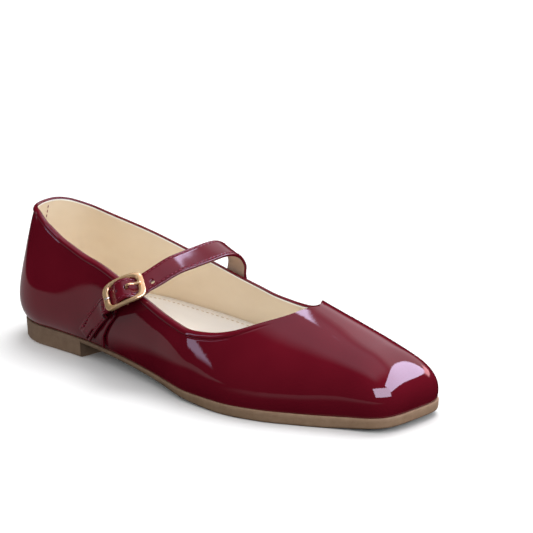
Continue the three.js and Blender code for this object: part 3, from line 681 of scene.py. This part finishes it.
def onWall(side, x, height):
    def point(px, pz):
        at = px / last["length"]
        name = "lateral" if side < 0 else "medial"
        power = float(archOf[name](at))
        rise = pz - float(featherAt(px))
        near = (1 - min(max(rise / float(crestAt(px)), 0), 1) ** power) ** (1 / power)
        ridge = float(ridgeShare(at))
        share = max(0, rise) / last["swellHeight"]
        swell = side * share * math.exp(1 - share) * float(swellOf[name](at))
        y = ridge + (side * float(planOf[name](at)) - ridge + swell) * near
        return np.array([px, y * last["ballWidth"], pz])

    here = point(x, height)
    normal = np.cross(point(x, height + 1) - here, point(x + 1, height) - here) * side
    return here, unitOf(normal)


def wallKeys(side, line, off, half):
    keys = []
    count = len(line["along"])
    for i in range(count):
        point, normal = onWall(side, line["along"][i] * last["length"], line["up"][i] * last["coneHeight"])
        keys.append((point + normal * off, normal, half(i / (count - 1))))
    return keys


def splineThrough(points):  # centripetal curve, the same as the source's
    p = np.asarray(points, float)
    n = len(p)

    def value(t):
        place = (n - 1) * np.clip(np.atleast_1d(t), 0, 1)
        k = np.minimum(np.floor(place).astype(int), n - 2)
        w = (place - k)[:, None]
        p1, p2 = p[k], p[k + 1]
        p0 = np.where((k > 0)[:, None], p[np.maximum(k - 1, 0)], 2 * p[0] - p[1])
        p3 = np.where((k < n - 2)[:, None], p[np.minimum(k + 2, n - 1)], 2 * p[-1] - p[-2])

        def stepOf(a, b):
            return (np.sum((a - b) ** 2, 1) ** 0.25)[:, None]

        d0, d1, d2 = stepOf(p0, p1), stepOf(p1, p2), stepOf(p2, p3)
        d1 = np.where(d1 < 1e-4, 1, d1)
        d0, d2 = np.where(d0 < 1e-4, d1, d0), np.where(d2 < 1e-4, d1, d2)
        t1 = ((p1 - p0) / d0 - (p2 - p0) / (d0 + d1) + (p2 - p1) / d1) * d1
        t2 = ((p2 - p1) / d1 - (p3 - p1) / (d1 + d2) + (p3 - p2) / d2) * d1
        return p1 + t1 * w + (-3 * p1 + 3 * p2 - 2 * t1 - t2) * w ** 2 + (2 * p1 - 2 * p2 + t1 + t2) * w ** 3

    return value


def bandFrames(keys, count):  # points, across, normals and half widths along a band
    t = np.linspace(0, 1, count + 1)
    path, turning = splineThrough([k[0] for k in keys]), splineThrough([k[1] for k in keys])
    point, normal = path(t), turning(t)
    along = unitRows(path(np.minimum(t + 1e-4, 1)) - path(np.maximum(t - 1e-4, 0)))
    normal = unitRows(normal - along * np.sum(normal * along, 1)[:, None])
    half = np.interp(t * (len(keys) - 1), np.arange(len(keys)), [k[2] for k in keys])
    return {"point": point, "along": along, "normal": normal, "across": np.cross(along, normal), "half": half}


def endFans(rowCount, ringCount):  # triangles that close both ends, round two points after the last row
    fans = []
    for i in range(ringCount):
        j, top, middle = (i + 1) % ringCount, (rowCount - 1) * ringCount, rowCount * ringCount
        fans += [(j, i, middle), (top + i, top + j, middle + 1)]
    return fans


def bandMesh(name, frames, profile, materials, slotOf, endRound=0.45):
    # profile gives points round the section: share of the half width, further in by, height
    rows = []
    shares, inward, height = profile.T
    for i, half in enumerate(frames["half"]):
        across = np.outer(shares * half + inward, frames["across"][i])
        rows.append(frames["point"][i] + across + np.outer(height, frames["normal"][i]))
    for end, step in ((0, -1), (-1, 1)):  # each end is rounded over a little
        edge, normal = rows[end], frames["normal"][end]
        forward = step * endRound * frames["along"][end]
        tilt = np.outer((edge - frames["point"][end]) @ normal, normal)
        near, far = edge + 0.65 * forward - 0.25 * tilt, edge + forward - 0.65 * tilt
        rows = [far, near] + rows if step < 0 else rows + [near, far]
    size = len(profile)
    faces, _ = ringFaces(len(rows), size)
    slots = [slotOf[k % size] for k in range(len(faces))]
    points = np.vstack(rows + [rows[0].mean(0), rows[-1].mean(0)])
    caps = endFans(len(rows), size)
    piece = makeMesh(name, toRoom(points), faces + caps, materials, slots + [0] * len(caps))
    return turnOut(piece)


def sectionOf(thickness, crowned, groove=0.0, grooveIn=1.5, steps=7):
    # Section of a band: a crowned top with a sewn groove near each edge, rounded edges, a flat underside
    t = thickness / 2
    points = [(share, 0.0, t + crowned * rise) for share, rise in ((0.0, 1.0), (0.35, 0.85), (0.6, 0.55))]
    for inward, rise in ((0.5, 0.06), (0.22, 0.0), (0.0, -groove), (-0.22, 0.0), (-0.5, 0.05)):
        points.append((1.0, -grooveIn - inward, t + rise))
    points.append((1.0, -0.62, t + 0.02))
    for k in range(1, steps):
        turn = math.pi * k / steps
        points.append((1.0, -0.45 * (1 - math.sin(turn)), t * math.cos(turn)))
    points.append((1.0, -0.7, -t))
    points.append((0.6, 0.0, -t))
    half = points + [(0.0, 0.0, -t)]
    mirror = [(-b, -i, c) for b, i, c in points[1:]][::-1]
    return np.array(half + mirror)


face = unitOf(seat["face"])
run = unitOf(np.array(seat["run"]) - face * np.dot(face, seat["run"]))
sideways = np.cross(run, face)
sizes = np.array([last["length"], last["ballWidth"], last["coneHeight"]])
centre = sizes * (seat["along"], seat["out"], seat["up"])


def onBuckle(a, b, c):
    return centre + run * a + sideways * b + face * c


gap, barLevel = buckleLook["gap"], buckleLook["barLevel"]
overTab = gap + tabLook["thickness"] + gap + strapLook["thickness"] / 2
crown = barLevel + buckleLook["bar"] + overTab  # the strap's level over the bar


def bandLevel(a):
    return -buckleLook["bend"] * (1 - math.cos(a / buckleLook["bend"]))


tuckAt = buckleLook["length"] / 2 - buckleLook["endBand"] / 2
# The strap's level under the buckle's ends
tuck = bandLevel(tuckAt) - buckleLook["thickness"] / 2 - gap - strapLook["thickness"] / 2 - 0.1


def strapKeys():
    half, endHalf = strapLook["width"] / 2, strapLook["endWidth"] / 2
    keys = wallKeys(-1, freeEnd, overTab + strapLook["spare"], lambda s: endHalf + (half - endHalf) / 2 * s)
    narrow, past = half - strapLook["pinch"], tuckAt + strapLook["past"]
    keys.append((onBuckle(-past, 0, tuck - 0.6), face, narrow))
    for share in (-0.83, -0.56, -0.27, 0, 0.27, 0.56, 0.83):
        level = crown + (tuck - crown) * float(smooth(abs(share), 0.1, 0.85))
        keys.append((onBuckle(share * tuckAt, 0, level), face, narrow))
    keys.append((onBuckle(past, -1.0, tuck - 0.2), face, narrow))
    keys.append((onBuckle(*strapLook["leave"]), unitOf(face + 0.15 * run), half))
    for along, out, up, turn, lean in zip(*(column[1:] for column in arch.values())):  # all but the first row
        turn, lean = math.radians(turn), math.radians(lean)
        normal = (math.sin(lean), math.sin(turn) * math.cos(lean), math.cos(turn) * math.cos(lean))
        keys.append((sizes * (along, out, up), np.array(normal), half))
    off = gap + strapLook["thickness"] / 2 + strapLook["offWall"]
    return keys + wallKeys(1, medialEnd, off, lambda s: half)


def cutHoles(piece, holes):  # round holes through a piece: (point, direction, radius)
    for number, (point, direction, radius) in enumerate(holes):
        direction = Vector(direction).normalized()
        bpy.ops.mesh.primitive_cylinder_add(vertices=28, radius=radius * 0.001, depth=0.007)
        drill = bpy.context.object
        turn = direction.to_track_quat("Z", "Y").to_matrix().to_4x4()
        drill.data.transform(Matrix.Translation(Vector(toRoom(point))) @ turn)
        cut = piece.modifiers.new(f"hole{number}", "BOOLEAN")
        cut.operation, cut.solver, cut.object = "DIFFERENCE", "EXACT", drill
        bpy.context.view_layer.update()
        graph = bpy.context.evaluated_depsgraph_get()
        mesh = bpy.data.meshes.new_from_object(piece.evaluated_get(graph))
        piece.modifiers.clear()
        piece.data = mesh
        bpy.data.objects.remove(drill)


def buildStrap():
    frames = bandFrames(strapKeys(), 300)
    profile = sectionOf(strapLook["thickness"], strapLook["crowned"], strapLook["groove"])
    height = profile[:, 2] + np.roll(profile[:, 2], -1)
    slots = (height < -0.99 * strapLook["thickness"]).astype(int).tolist()
    # the underside, slot 1, takes the darker lining of painted shade
    piece = bandMesh("instep_strap", frames, profile, [strapPatent, strapLiningPaintedShade], slots)
    for polygon in piece.data.polygons:  # the free end has patent on both sides
        if polygon.center.x < toRoom(centre)[0]:
            polygon.material_index = 0
    cutHoles(piece, [(onBuckle(a, b, crown + up), face, radius) for a, b, up, radius in strapLook["holes"]])
    piece.data.polygons.foreach_set("use_smooth", np.ones(len(piece.data.polygons), bool))
    return settle(piece, "patent", "strap")


strapPiece = buildStrap()
print("strap", len(strapPiece.data.polygons))


def buildTab():
    half, foot, thickness = tabLook["top"] / 2, tabLook["foot"] / 2, tabLook["thickness"]

    def halfAt(share):
        return foot + (half - foot) * float(smooth(share, *tabLook["flare"]))

    keys = wallKeys(-1, tabLine, gap + thickness / 2 + tabLook["offWall"], halfAt)
    loop = buckleLook["bar"] + gap + thickness / 2
    keys.append((onBuckle(-tuckAt * 0.55, 0, barLevel - loop - 1), face, half))
    for angle in map(math.radians, range(*tabLook["loop"])):
        out = run * math.cos(angle) + face * math.sin(angle)
        keys.append((onBuckle(loop * math.cos(angle), 0, barLevel + loop * math.sin(angle)), -out, half))
    frames = bandFrames(keys, 160)
    profile = sectionOf(thickness, 0.05, 0.0, 1.2)
    piece = bandMesh("buckle_tab_patent", frames, profile, [strapPatent], [0] * len(profile))
    return settle(piece, "patent", "buckle_tab")


buildTab()


# Buckle. Section of its band: share of the width inward, share of the thickness up
frameSection = [
    (0.0, -0.42), (0.0, 0.12), (0.08, 0.3), (0.22, 0.43), (0.4, 0.5), (0.6, 0.5), (0.78, 0.43), (0.92, 0.3),
    (1.0, 0.12), (1.0, -0.42), (0.9, -0.5), (0.1, -0.5),
]


def buildFrame():
    steps, rows = 128, []
    power, bend = 2 / buckleLook["squareness"], buckleLook["bend"]
    for i in range(steps):
        turn = (i + 0.5) / steps * 2 * math.pi
        c, s = math.cos(turn), math.sin(turn)
        band = buckleLook["sideBand"] + (buckleLook["endBand"] - buckleLook["sideBand"]) * abs(c) ** 1.6
        shapeA, shapeB = math.copysign(abs(c) ** power, c), math.copysign(abs(s) ** power, s)
        shape, bands = np.array([shapeA, shapeB]), np.array([buckleLook["endBand"], buckleLook["sideBand"]])
        outer = shape * (buckleLook["length"], buckleLook["width"]) / 2
        row = []
        for inward, out in frameSection:
            a, b = outer - shape * bands * inward
            lift = out * min(buckleLook["thickness"], band)
            level = bandLevel(a) + lift * math.cos(a / bend)
            row.append(onBuckle((bend + lift) * math.sin(a / bend), b, level))
        rows.append(np.array(row))
    faces, _ = ringFaces(len(rows), len(frameSection), True)
    piece = makeMesh("buckle_frame_gold", toRoom(np.vstack(rows)), faces, [gold])
    return settle(turnOut(piece), "gold", "buckle_frame")


def rodMesh(name, path, radii, material, sides=14):
    path = np.asarray(path, float)
    rows = []
    turn = np.linspace(0, 2 * math.pi, sides, endpoint=False)
    for i, point in enumerate(path):
        along = unitOf(path[min(i + 1, len(path) - 1)] - path[max(i - 1, 0)])
        first = face if abs(np.dot(along, sideways)) > 0.9 else sideways
        first = unitOf(first - along * np.dot(first, along))
        second = np.cross(along, first)
        rows.append(point + radii[i] * (np.outer(np.cos(turn), first) + np.outer(np.sin(turn), second)))
    faces, _ = ringFaces(len(rows), sides)
    points = toRoom(np.vstack(rows + [path[0], path[-1]]))
    piece = makeMesh(name, points, faces + endFans(len(rows), sides), [material])
    return settle(turnOut(piece), "gold")


def buildProng():  # hooked round the bar, up through the strap's hole, and over to the end band
    radius = buckleLook["prong"]
    hook = buckleLook["bar"] + gap + 0.05 + radius
    rest = bandLevel(tuckAt) + buckleLook["thickness"] / 2 + gap + radius
    turns = [math.radians(turn) for turn in range(130, 341, 30)]
    line = [(hook * math.cos(turn), barLevel + hook * math.sin(turn)) for turn in turns]
    line += [(2.1, barLevel + 1.2), (2.7, crown), (3.6, crown + 1.5), (5, crown + 1.45), (7, rest + 0.9)]
    line += [(tuckAt - 0.6, rest + 0.15), (tuckAt + 0.5, rest + 0.05)]
    fine = splineThrough([onBuckle(a, 0, c) for a, c in line])(np.linspace(0, 1, 90))
    steps = np.arange(90)
    radii = radius + 0.22 * smooth(steps, 74, 82) - 0.5 * smooth(steps, 86.5, 90)  # thicker tip, rounded off
    piece = rodMesh("buckle_prong_gold", fine, radii, gold)
    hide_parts("buckle_prong")
    return piece


def buildBar():
    line = [onBuckle(0, b, barLevel) for b in np.linspace(-1, 1, 24) * buckleLook["barReach"]]
    return rodMesh("buckle_bar_gold", line, np.full(24, buckleLook["bar"]), gold)


# Pin across the band under the free end: place along the buckle, height over the band, radius
pinRows = [(-10.6, 0.1, 0.2), (-10.4, 0.25, 0.5), (-9.2, 0.35, 0.55), (-8.0, 0.3, 0.5), (-7.7, 0.1, 0.2)]


def buildPin():
    level = bandLevel(tuckAt) + buckleLook["thickness"] / 2
    line = [onBuckle(a, 0.4, level + rise) for a, rise, _ in pinRows]
    return rodMesh("buckle_pin_steel", line, [radius for *_, radius in pinRows], steel)


buildFrame()
buildProng()
buildBar()
buildPin()
print("buckle ready")


# Stitches that follow a line of points
def stitchTree():
    tree = bpy.data.node_groups.new("stitches", "GeometryNodeTree")
    inputs = (("Geometry", "Geometry"), ("Pitch", "Float"), ("Length", "Float"), ("Radius", "Float"))
    for name, kind in (*inputs, ("Thread", "Material")):
        tree.interface.new_socket(name, in_out="INPUT", socket_type="NodeSocket" + kind)
    tree.interface.new_socket("Geometry", in_out="OUTPUT", socket_type="NodeSocketGeometry")
    node = tree.nodes.new
    given, result = node("NodeGroupInput"), node("NodeGroupOutput")
    curve, points = node("GeometryNodeMeshToCurve"), node("GeometryNodeCurveToPoints")
    ball, size = node("GeometryNodeMeshUVSphere"), node("ShaderNodeCombineXYZ")
    place, real = node("GeometryNodeInstanceOnPoints"), node("GeometryNodeRealizeInstances")
    smoothNode, setMaterial = node("GeometryNodeSetShadeSmooth"), node("GeometryNodeSetMaterial")
    points.mode = "LENGTH"
    setInputs(ball, {"Segments": 8, "Rings": 6, "Radius": 1.0})
    wire(
        tree,
        (given, "Geometry", curve, "Mesh"), (curve, "Curve", points, "Curve"),
        (given, "Pitch", points, "Length"), (given, "Length", size, "Z"),
        (given, "Radius", size, "X"), (given, "Radius", size, "Y"),
        (points, "Points", place, "Points"), (points, "Rotation", place, "Rotation"),
        (ball, "Mesh", place, "Instance"), (size, "Vector", place, "Scale"),
        (place, "Instances", real, "Geometry"), (real, "Geometry", smoothNode, "Geometry"),
        (smoothNode, "Geometry", setMaterial, "Geometry"), (given, "Thread", setMaterial, "Material"),
        (setMaterial, "Geometry", result, "Geometry"),
    )
    return tree


stitches = stitchTree()
seams = {
    "strap_stitches": {"Pitch": 2.5, "Length": 1.75, "Radius": 0.27, "in": 1.5, "lift": 0.1},
    "insole_stitches": {"Pitch": 3.2, "Length": 2.1, "Radius": 0.22, "lift": 0.35},
    "back_stitches": {"Pitch": 2.6, "Length": 1.9, "Radius": 0.22, "lift": 0.35, "down": (0.93, 0.55)},
}


def sew(name, lines, thread, slotName):
    points, edges = [], []
    for line in lines:
        start = len(points)
        points.extend(toRoom(line).tolist())
        edges.extend((start + i, start + i + 1) for i in range(len(line) - 1))
    mesh = bpy.data.meshes.new(name)
    mesh.from_pydata(points, edges, [])
    guide = putIn(name + "_line", mesh)
    modifier = guide.modifiers.new("stitches", "NODES")
    modifier.node_group = stitches
    values = {key: seams[name][key] * 0.001 for key in ("Pitch", "Length", "Radius")}
    values["Thread"], values["Length"] = thread, values["Length"] / 2
    for item in stitches.interface.items_tree:
        if item.in_out == "INPUT" and item.name in values:
            modifier[item.identifier] = values[item.name]
    bpy.context.view_layer.update()
    made = bpy.data.meshes.new_from_object(guide.evaluated_get(bpy.context.evaluated_depsgraph_get()))
    bpy.data.objects.remove(guide)
    made.name = name
    return settle(putIn(name, made), slotName)


def strapSeams():  # along both edges and across the free end
    frames = bandFrames(strapKeys(), 300)
    lift = strapLook["thickness"] / 2 + seams["strap_stitches"]["lift"]
    reach = frames["half"] - seams["strap_stitches"]["in"]

    def line(rows, offset):
        point, across, normal = (frames[key][rows] for key in ("point", "across", "normal"))
        return point + across * offset[:, None] + normal * lift

    alongEdge, acrossEnd = np.arange(4, len(reach)), np.full(12, 4)
    lines = [line(alongEdge, side * reach[4:]) for side in (-1, 1)]
    return lines + [line(acrossEnd, np.linspace(-1, 1, 12) * reach[4])]


def insoleSeam():
    ring = ribsOf(evenRing(), insoleLook["inset"])
    reach = insoleLook["stitchIn"] / np.linalg.norm(ring["foot"] - ring["spine"], axis=1)
    line = insoleDish(ring, np.clip(reach, 0, 0.4)) + (0, 0, seams["insole_stitches"]["lift"])
    return [np.vstack([line, line[:1]])]


def backSeam():  # down the middle of the back, inside
    rib = {key: value[:2] for key, value in ribsOf(evenRing(), upperLook["wall"] + 0.1).items()}
    climbs = np.linspace(*seams["back_stitches"]["down"], 30) * collarAt(rib)[0]
    line = np.array([onLast(rib, climb, upperLook["wall"])[0] for climb in climbs])
    return [line + (seams["back_stitches"]["lift"], 0, 0)]


sew("strap_stitches", strapSeams(), redThread, "patent")
sew("insole_stitches", insoleSeam(), creamThread, "lining")
sew("back_stitches", backSeam(), redThread, "lining")
print("stitches ready")

# Studio: pale floor, camera at the photograph's angle, soft boxes
studio = {
    "azimuth": 40.2, "elevation": 18.0, "roll": -0.44, "distance": 1.3, "lens": 177.5, "sensor": 36.0,
    "target": (0.035229, 0.004557, 0.0635), "ambient": 0.85, "floor": 2.6, "floorLevel": -0.00005,
}
square = ((-1, -1), (1, -1), (1, 1), (-1, 1))


def toward(azimuth, elevation):  # azimuth from the lateral side round by the toe, both in degrees
    a, e = math.radians(azimuth), math.radians(elevation)
    return Vector((math.sin(a) * math.cos(e), -math.cos(a) * math.cos(e), math.sin(e)))


def buildCamera():
    a, r = math.radians(studio["azimuth"]), math.radians(studio["roll"])
    back = toward(studio["azimuth"], studio["elevation"])
    right = Vector((math.cos(a), math.sin(a), 0))
    up = back.cross(right)
    across, above = right * math.cos(r) + up * math.sin(r), up * math.cos(r) - right * math.sin(r)
    lens = bpy.data.cameras.new("camera")
    lens.lens, lens.sensor_width = studio["lens"], studio["sensor"]
    lens.clip_start, lens.clip_end = 0.05, 30
    camera = putIn("camera", lens)
    turn = Matrix((across, above, back)).transposed().to_4x4()
    camera.matrix_world = Matrix.Translation(Vector(studio["target"]) + back * studio["distance"]) @ turn
    bpy.context.scene.camera = camera


def buildFloor():
    corners = np.column_stack([np.array(square) * studio["floor"], np.full(4, studio["floorLevel"])])
    floor = makeMesh("floor", corners, [(0, 1, 2, 3)], [finishOf("paper_floor")])
    floor.visible_glossy = floor.visible_diffuse = False


def buildWorld():
    world = bpy.data.worlds.new("studio")
    world.use_nodes = True
    setInputs(world.node_tree.nodes["Background"], {"Color": (1, 1, 1, 1), "Strength": studio["ambient"]})
    world.cycles_visibility.glossy = False
    bpy.context.scene.world = world
    bpy.context.scene.view_settings.view_transform = "Standard"


# Boxes light the matt surfaces, and the glossy walls mirror soft cards. Directions are seen from the shoe in
# degrees, distances and sizes are in metres, and fade is the share of a card over which it fades out.
columnNames = ("azimuth", "elevation", "away", "size", "light", "fade")
boxes = {
    "overhead": (-165, 64, 1.9, (1.2, 1.1), (5.4, 5.4, 5.4)),
    "toe_fill": (95, 24, 1.6, (0.7, 0.6), (4.2, 4.2, 4.2)),
}
cards = {
    "back_window": (-158, 66, 1.6, (0.24, 0.5), (9.5, 9, 12.5), 0.4),
    "toe_window": (124, 38.5, 1.6, (1.9, 0.74), (10, 9.2, 13), 0.12),
    "toe_window_low": (158, 20, 1.55, (0.8, 0.4), (8.5, 4, 4.4), 0.6),
    "front_window": (64, 26, 1.65, (1.7, 0.8), (9, 8.3, 11), 0.16),
    "back_wall": (-176, 36, 1.8, (3.0, 1.7), (1.3, 1.2, 1.3), 0.6),
    "ceiling": (180, 86, 1.85, (2.8, 2.8), (0.8, 0.75, 0.88), 0.6),
    "curtain": (-36.5, 24, 1.5, (0.085, 1.2), (2.6, 2.6, 3.7), 0.3),
    "side_lamp": (-82, 2, 1.5, (0.2, 0.5), (1.5, 1.3, 1.4), 0.6),
}
# The tabletop as the walls see it, in place of the floor they don't see: a black card of painted shade with
# two glowing cards of painted light for the floor's lit parts: two corners, level, light, fade
tables = {
    "table_painted_shade": ((-3, -3), (3, 3), -0.002, None, 0),
    "table_painted_light": ((-0.36, -0.34), (-0.05, 0.34), -0.001, (0.4, 0.38, 0.38), 0.3),
    "table_front_painted_light": ((-0.02, -0.55), (0.4, -0.075), -0.0015, (0.34, 0.29, 0.3), 0.4),
}


def placed(row):
    back = toward(row["azimuth"], row["elevation"])
    middle = Vector((0, 0, 0.04)) + back * row["away"]
    return Matrix.Translation(middle) @ back.to_track_quat("Z", "Y").to_matrix().to_4x4()


def softBox(name, row):
    strength, (width, height) = max(row["light"]), row["size"]
    lamp = bpy.data.lights.new(name, "AREA")
    lamp.shape, lamp.size, lamp.size_y = "RECTANGLE", width, height
    lamp.color = [c / strength for c in row["light"]]
    lamp.energy = strength * width * height * math.pi
    box = putIn(name, lamp)
    box.visible_camera = box.visible_glossy = False
    box.matrix_world = placed(row)


def blackMaterial(name):
    material, tree, shader = newMaterial(name, 1.0, specular=0.0)
    setInputs(shader, {"Base Color": (0, 0, 0, 1)})
    return material, tree, shader


def glowMaterial(name, light, fade):  # glow that fades towards the edges of the card's own square of UV
    material, tree, shader = blackMaterial(name)
    strength = max(light)
    glow = (*[c / strength for c in light], 1)
    setInputs(shader, {"Emission Color": glow, "Emission Strength": strength})
    coordinates, split = shaderNode(tree, "TexCoord"), shaderNode(tree, "SeparateXYZ")
    both = shaderNode(tree, "Math")
    both.operation = "MULTIPLY"
    for k, axis in enumerate("XY"):
        inward, ease = shaderNode(tree, "Math"), shaderNode(tree, "MapRange", **{"From Max": fade / 2})
        inward.operation = "PINGPONG"
        inward.inputs[1].default_value = 0.5
        ease.interpolation_type = "SMOOTHSTEP"
        wire(tree, (split, axis, inward, 0), (inward, "Value", ease, "Value"), (ease, "Result", both, k))
    wire(tree, (coordinates, "UV", split, "Vector"), (both, "Value", shader, "Alpha"))
    return material


def mirroredCard(name, corners, material, matt=False):
    card = makeMesh(name, np.array(corners), [(0, 1, 2, 3)], [material])
    layer = card.data.uv_layers.new(name="card")
    for loop, uv in enumerate(((0, 0), (1, 0), (1, 1), (0, 1))):
        layer.data[loop].uv = uv
    card.visible_camera = card.visible_shadow = card.visible_transmission = False
    card.visible_diffuse = matt


def buildCards():
    for name, values in cards.items():
        row = dict(zip(columnNames, values))
        width, height = row["size"]
        corners = [placed(row) @ Vector((x * width / 2, y * height / 2, 0)) for x, y in square]
        mirroredCard(name, corners, glowMaterial(name, row["light"], row["fade"]))
    # the tables: a black card of painted shade, and glowing cards of painted light for the lit floor
    for name, ((left, front), (right, behind), level, light, fade) in tables.items():
        material = glowMaterial(name, light, fade) if light else blackMaterial("painted_shade_table")[0]
        corners = [(left, front, level), (right, front, level), (right, behind, level), (left, behind, level)]
        mirroredCard(name, corners, material, True)


buildCamera()
buildFloor()
buildWorld()
for name, values in boxes.items():
    softBox(name, dict(zip(columnNames, values)))
buildCards()
print("studio ready")
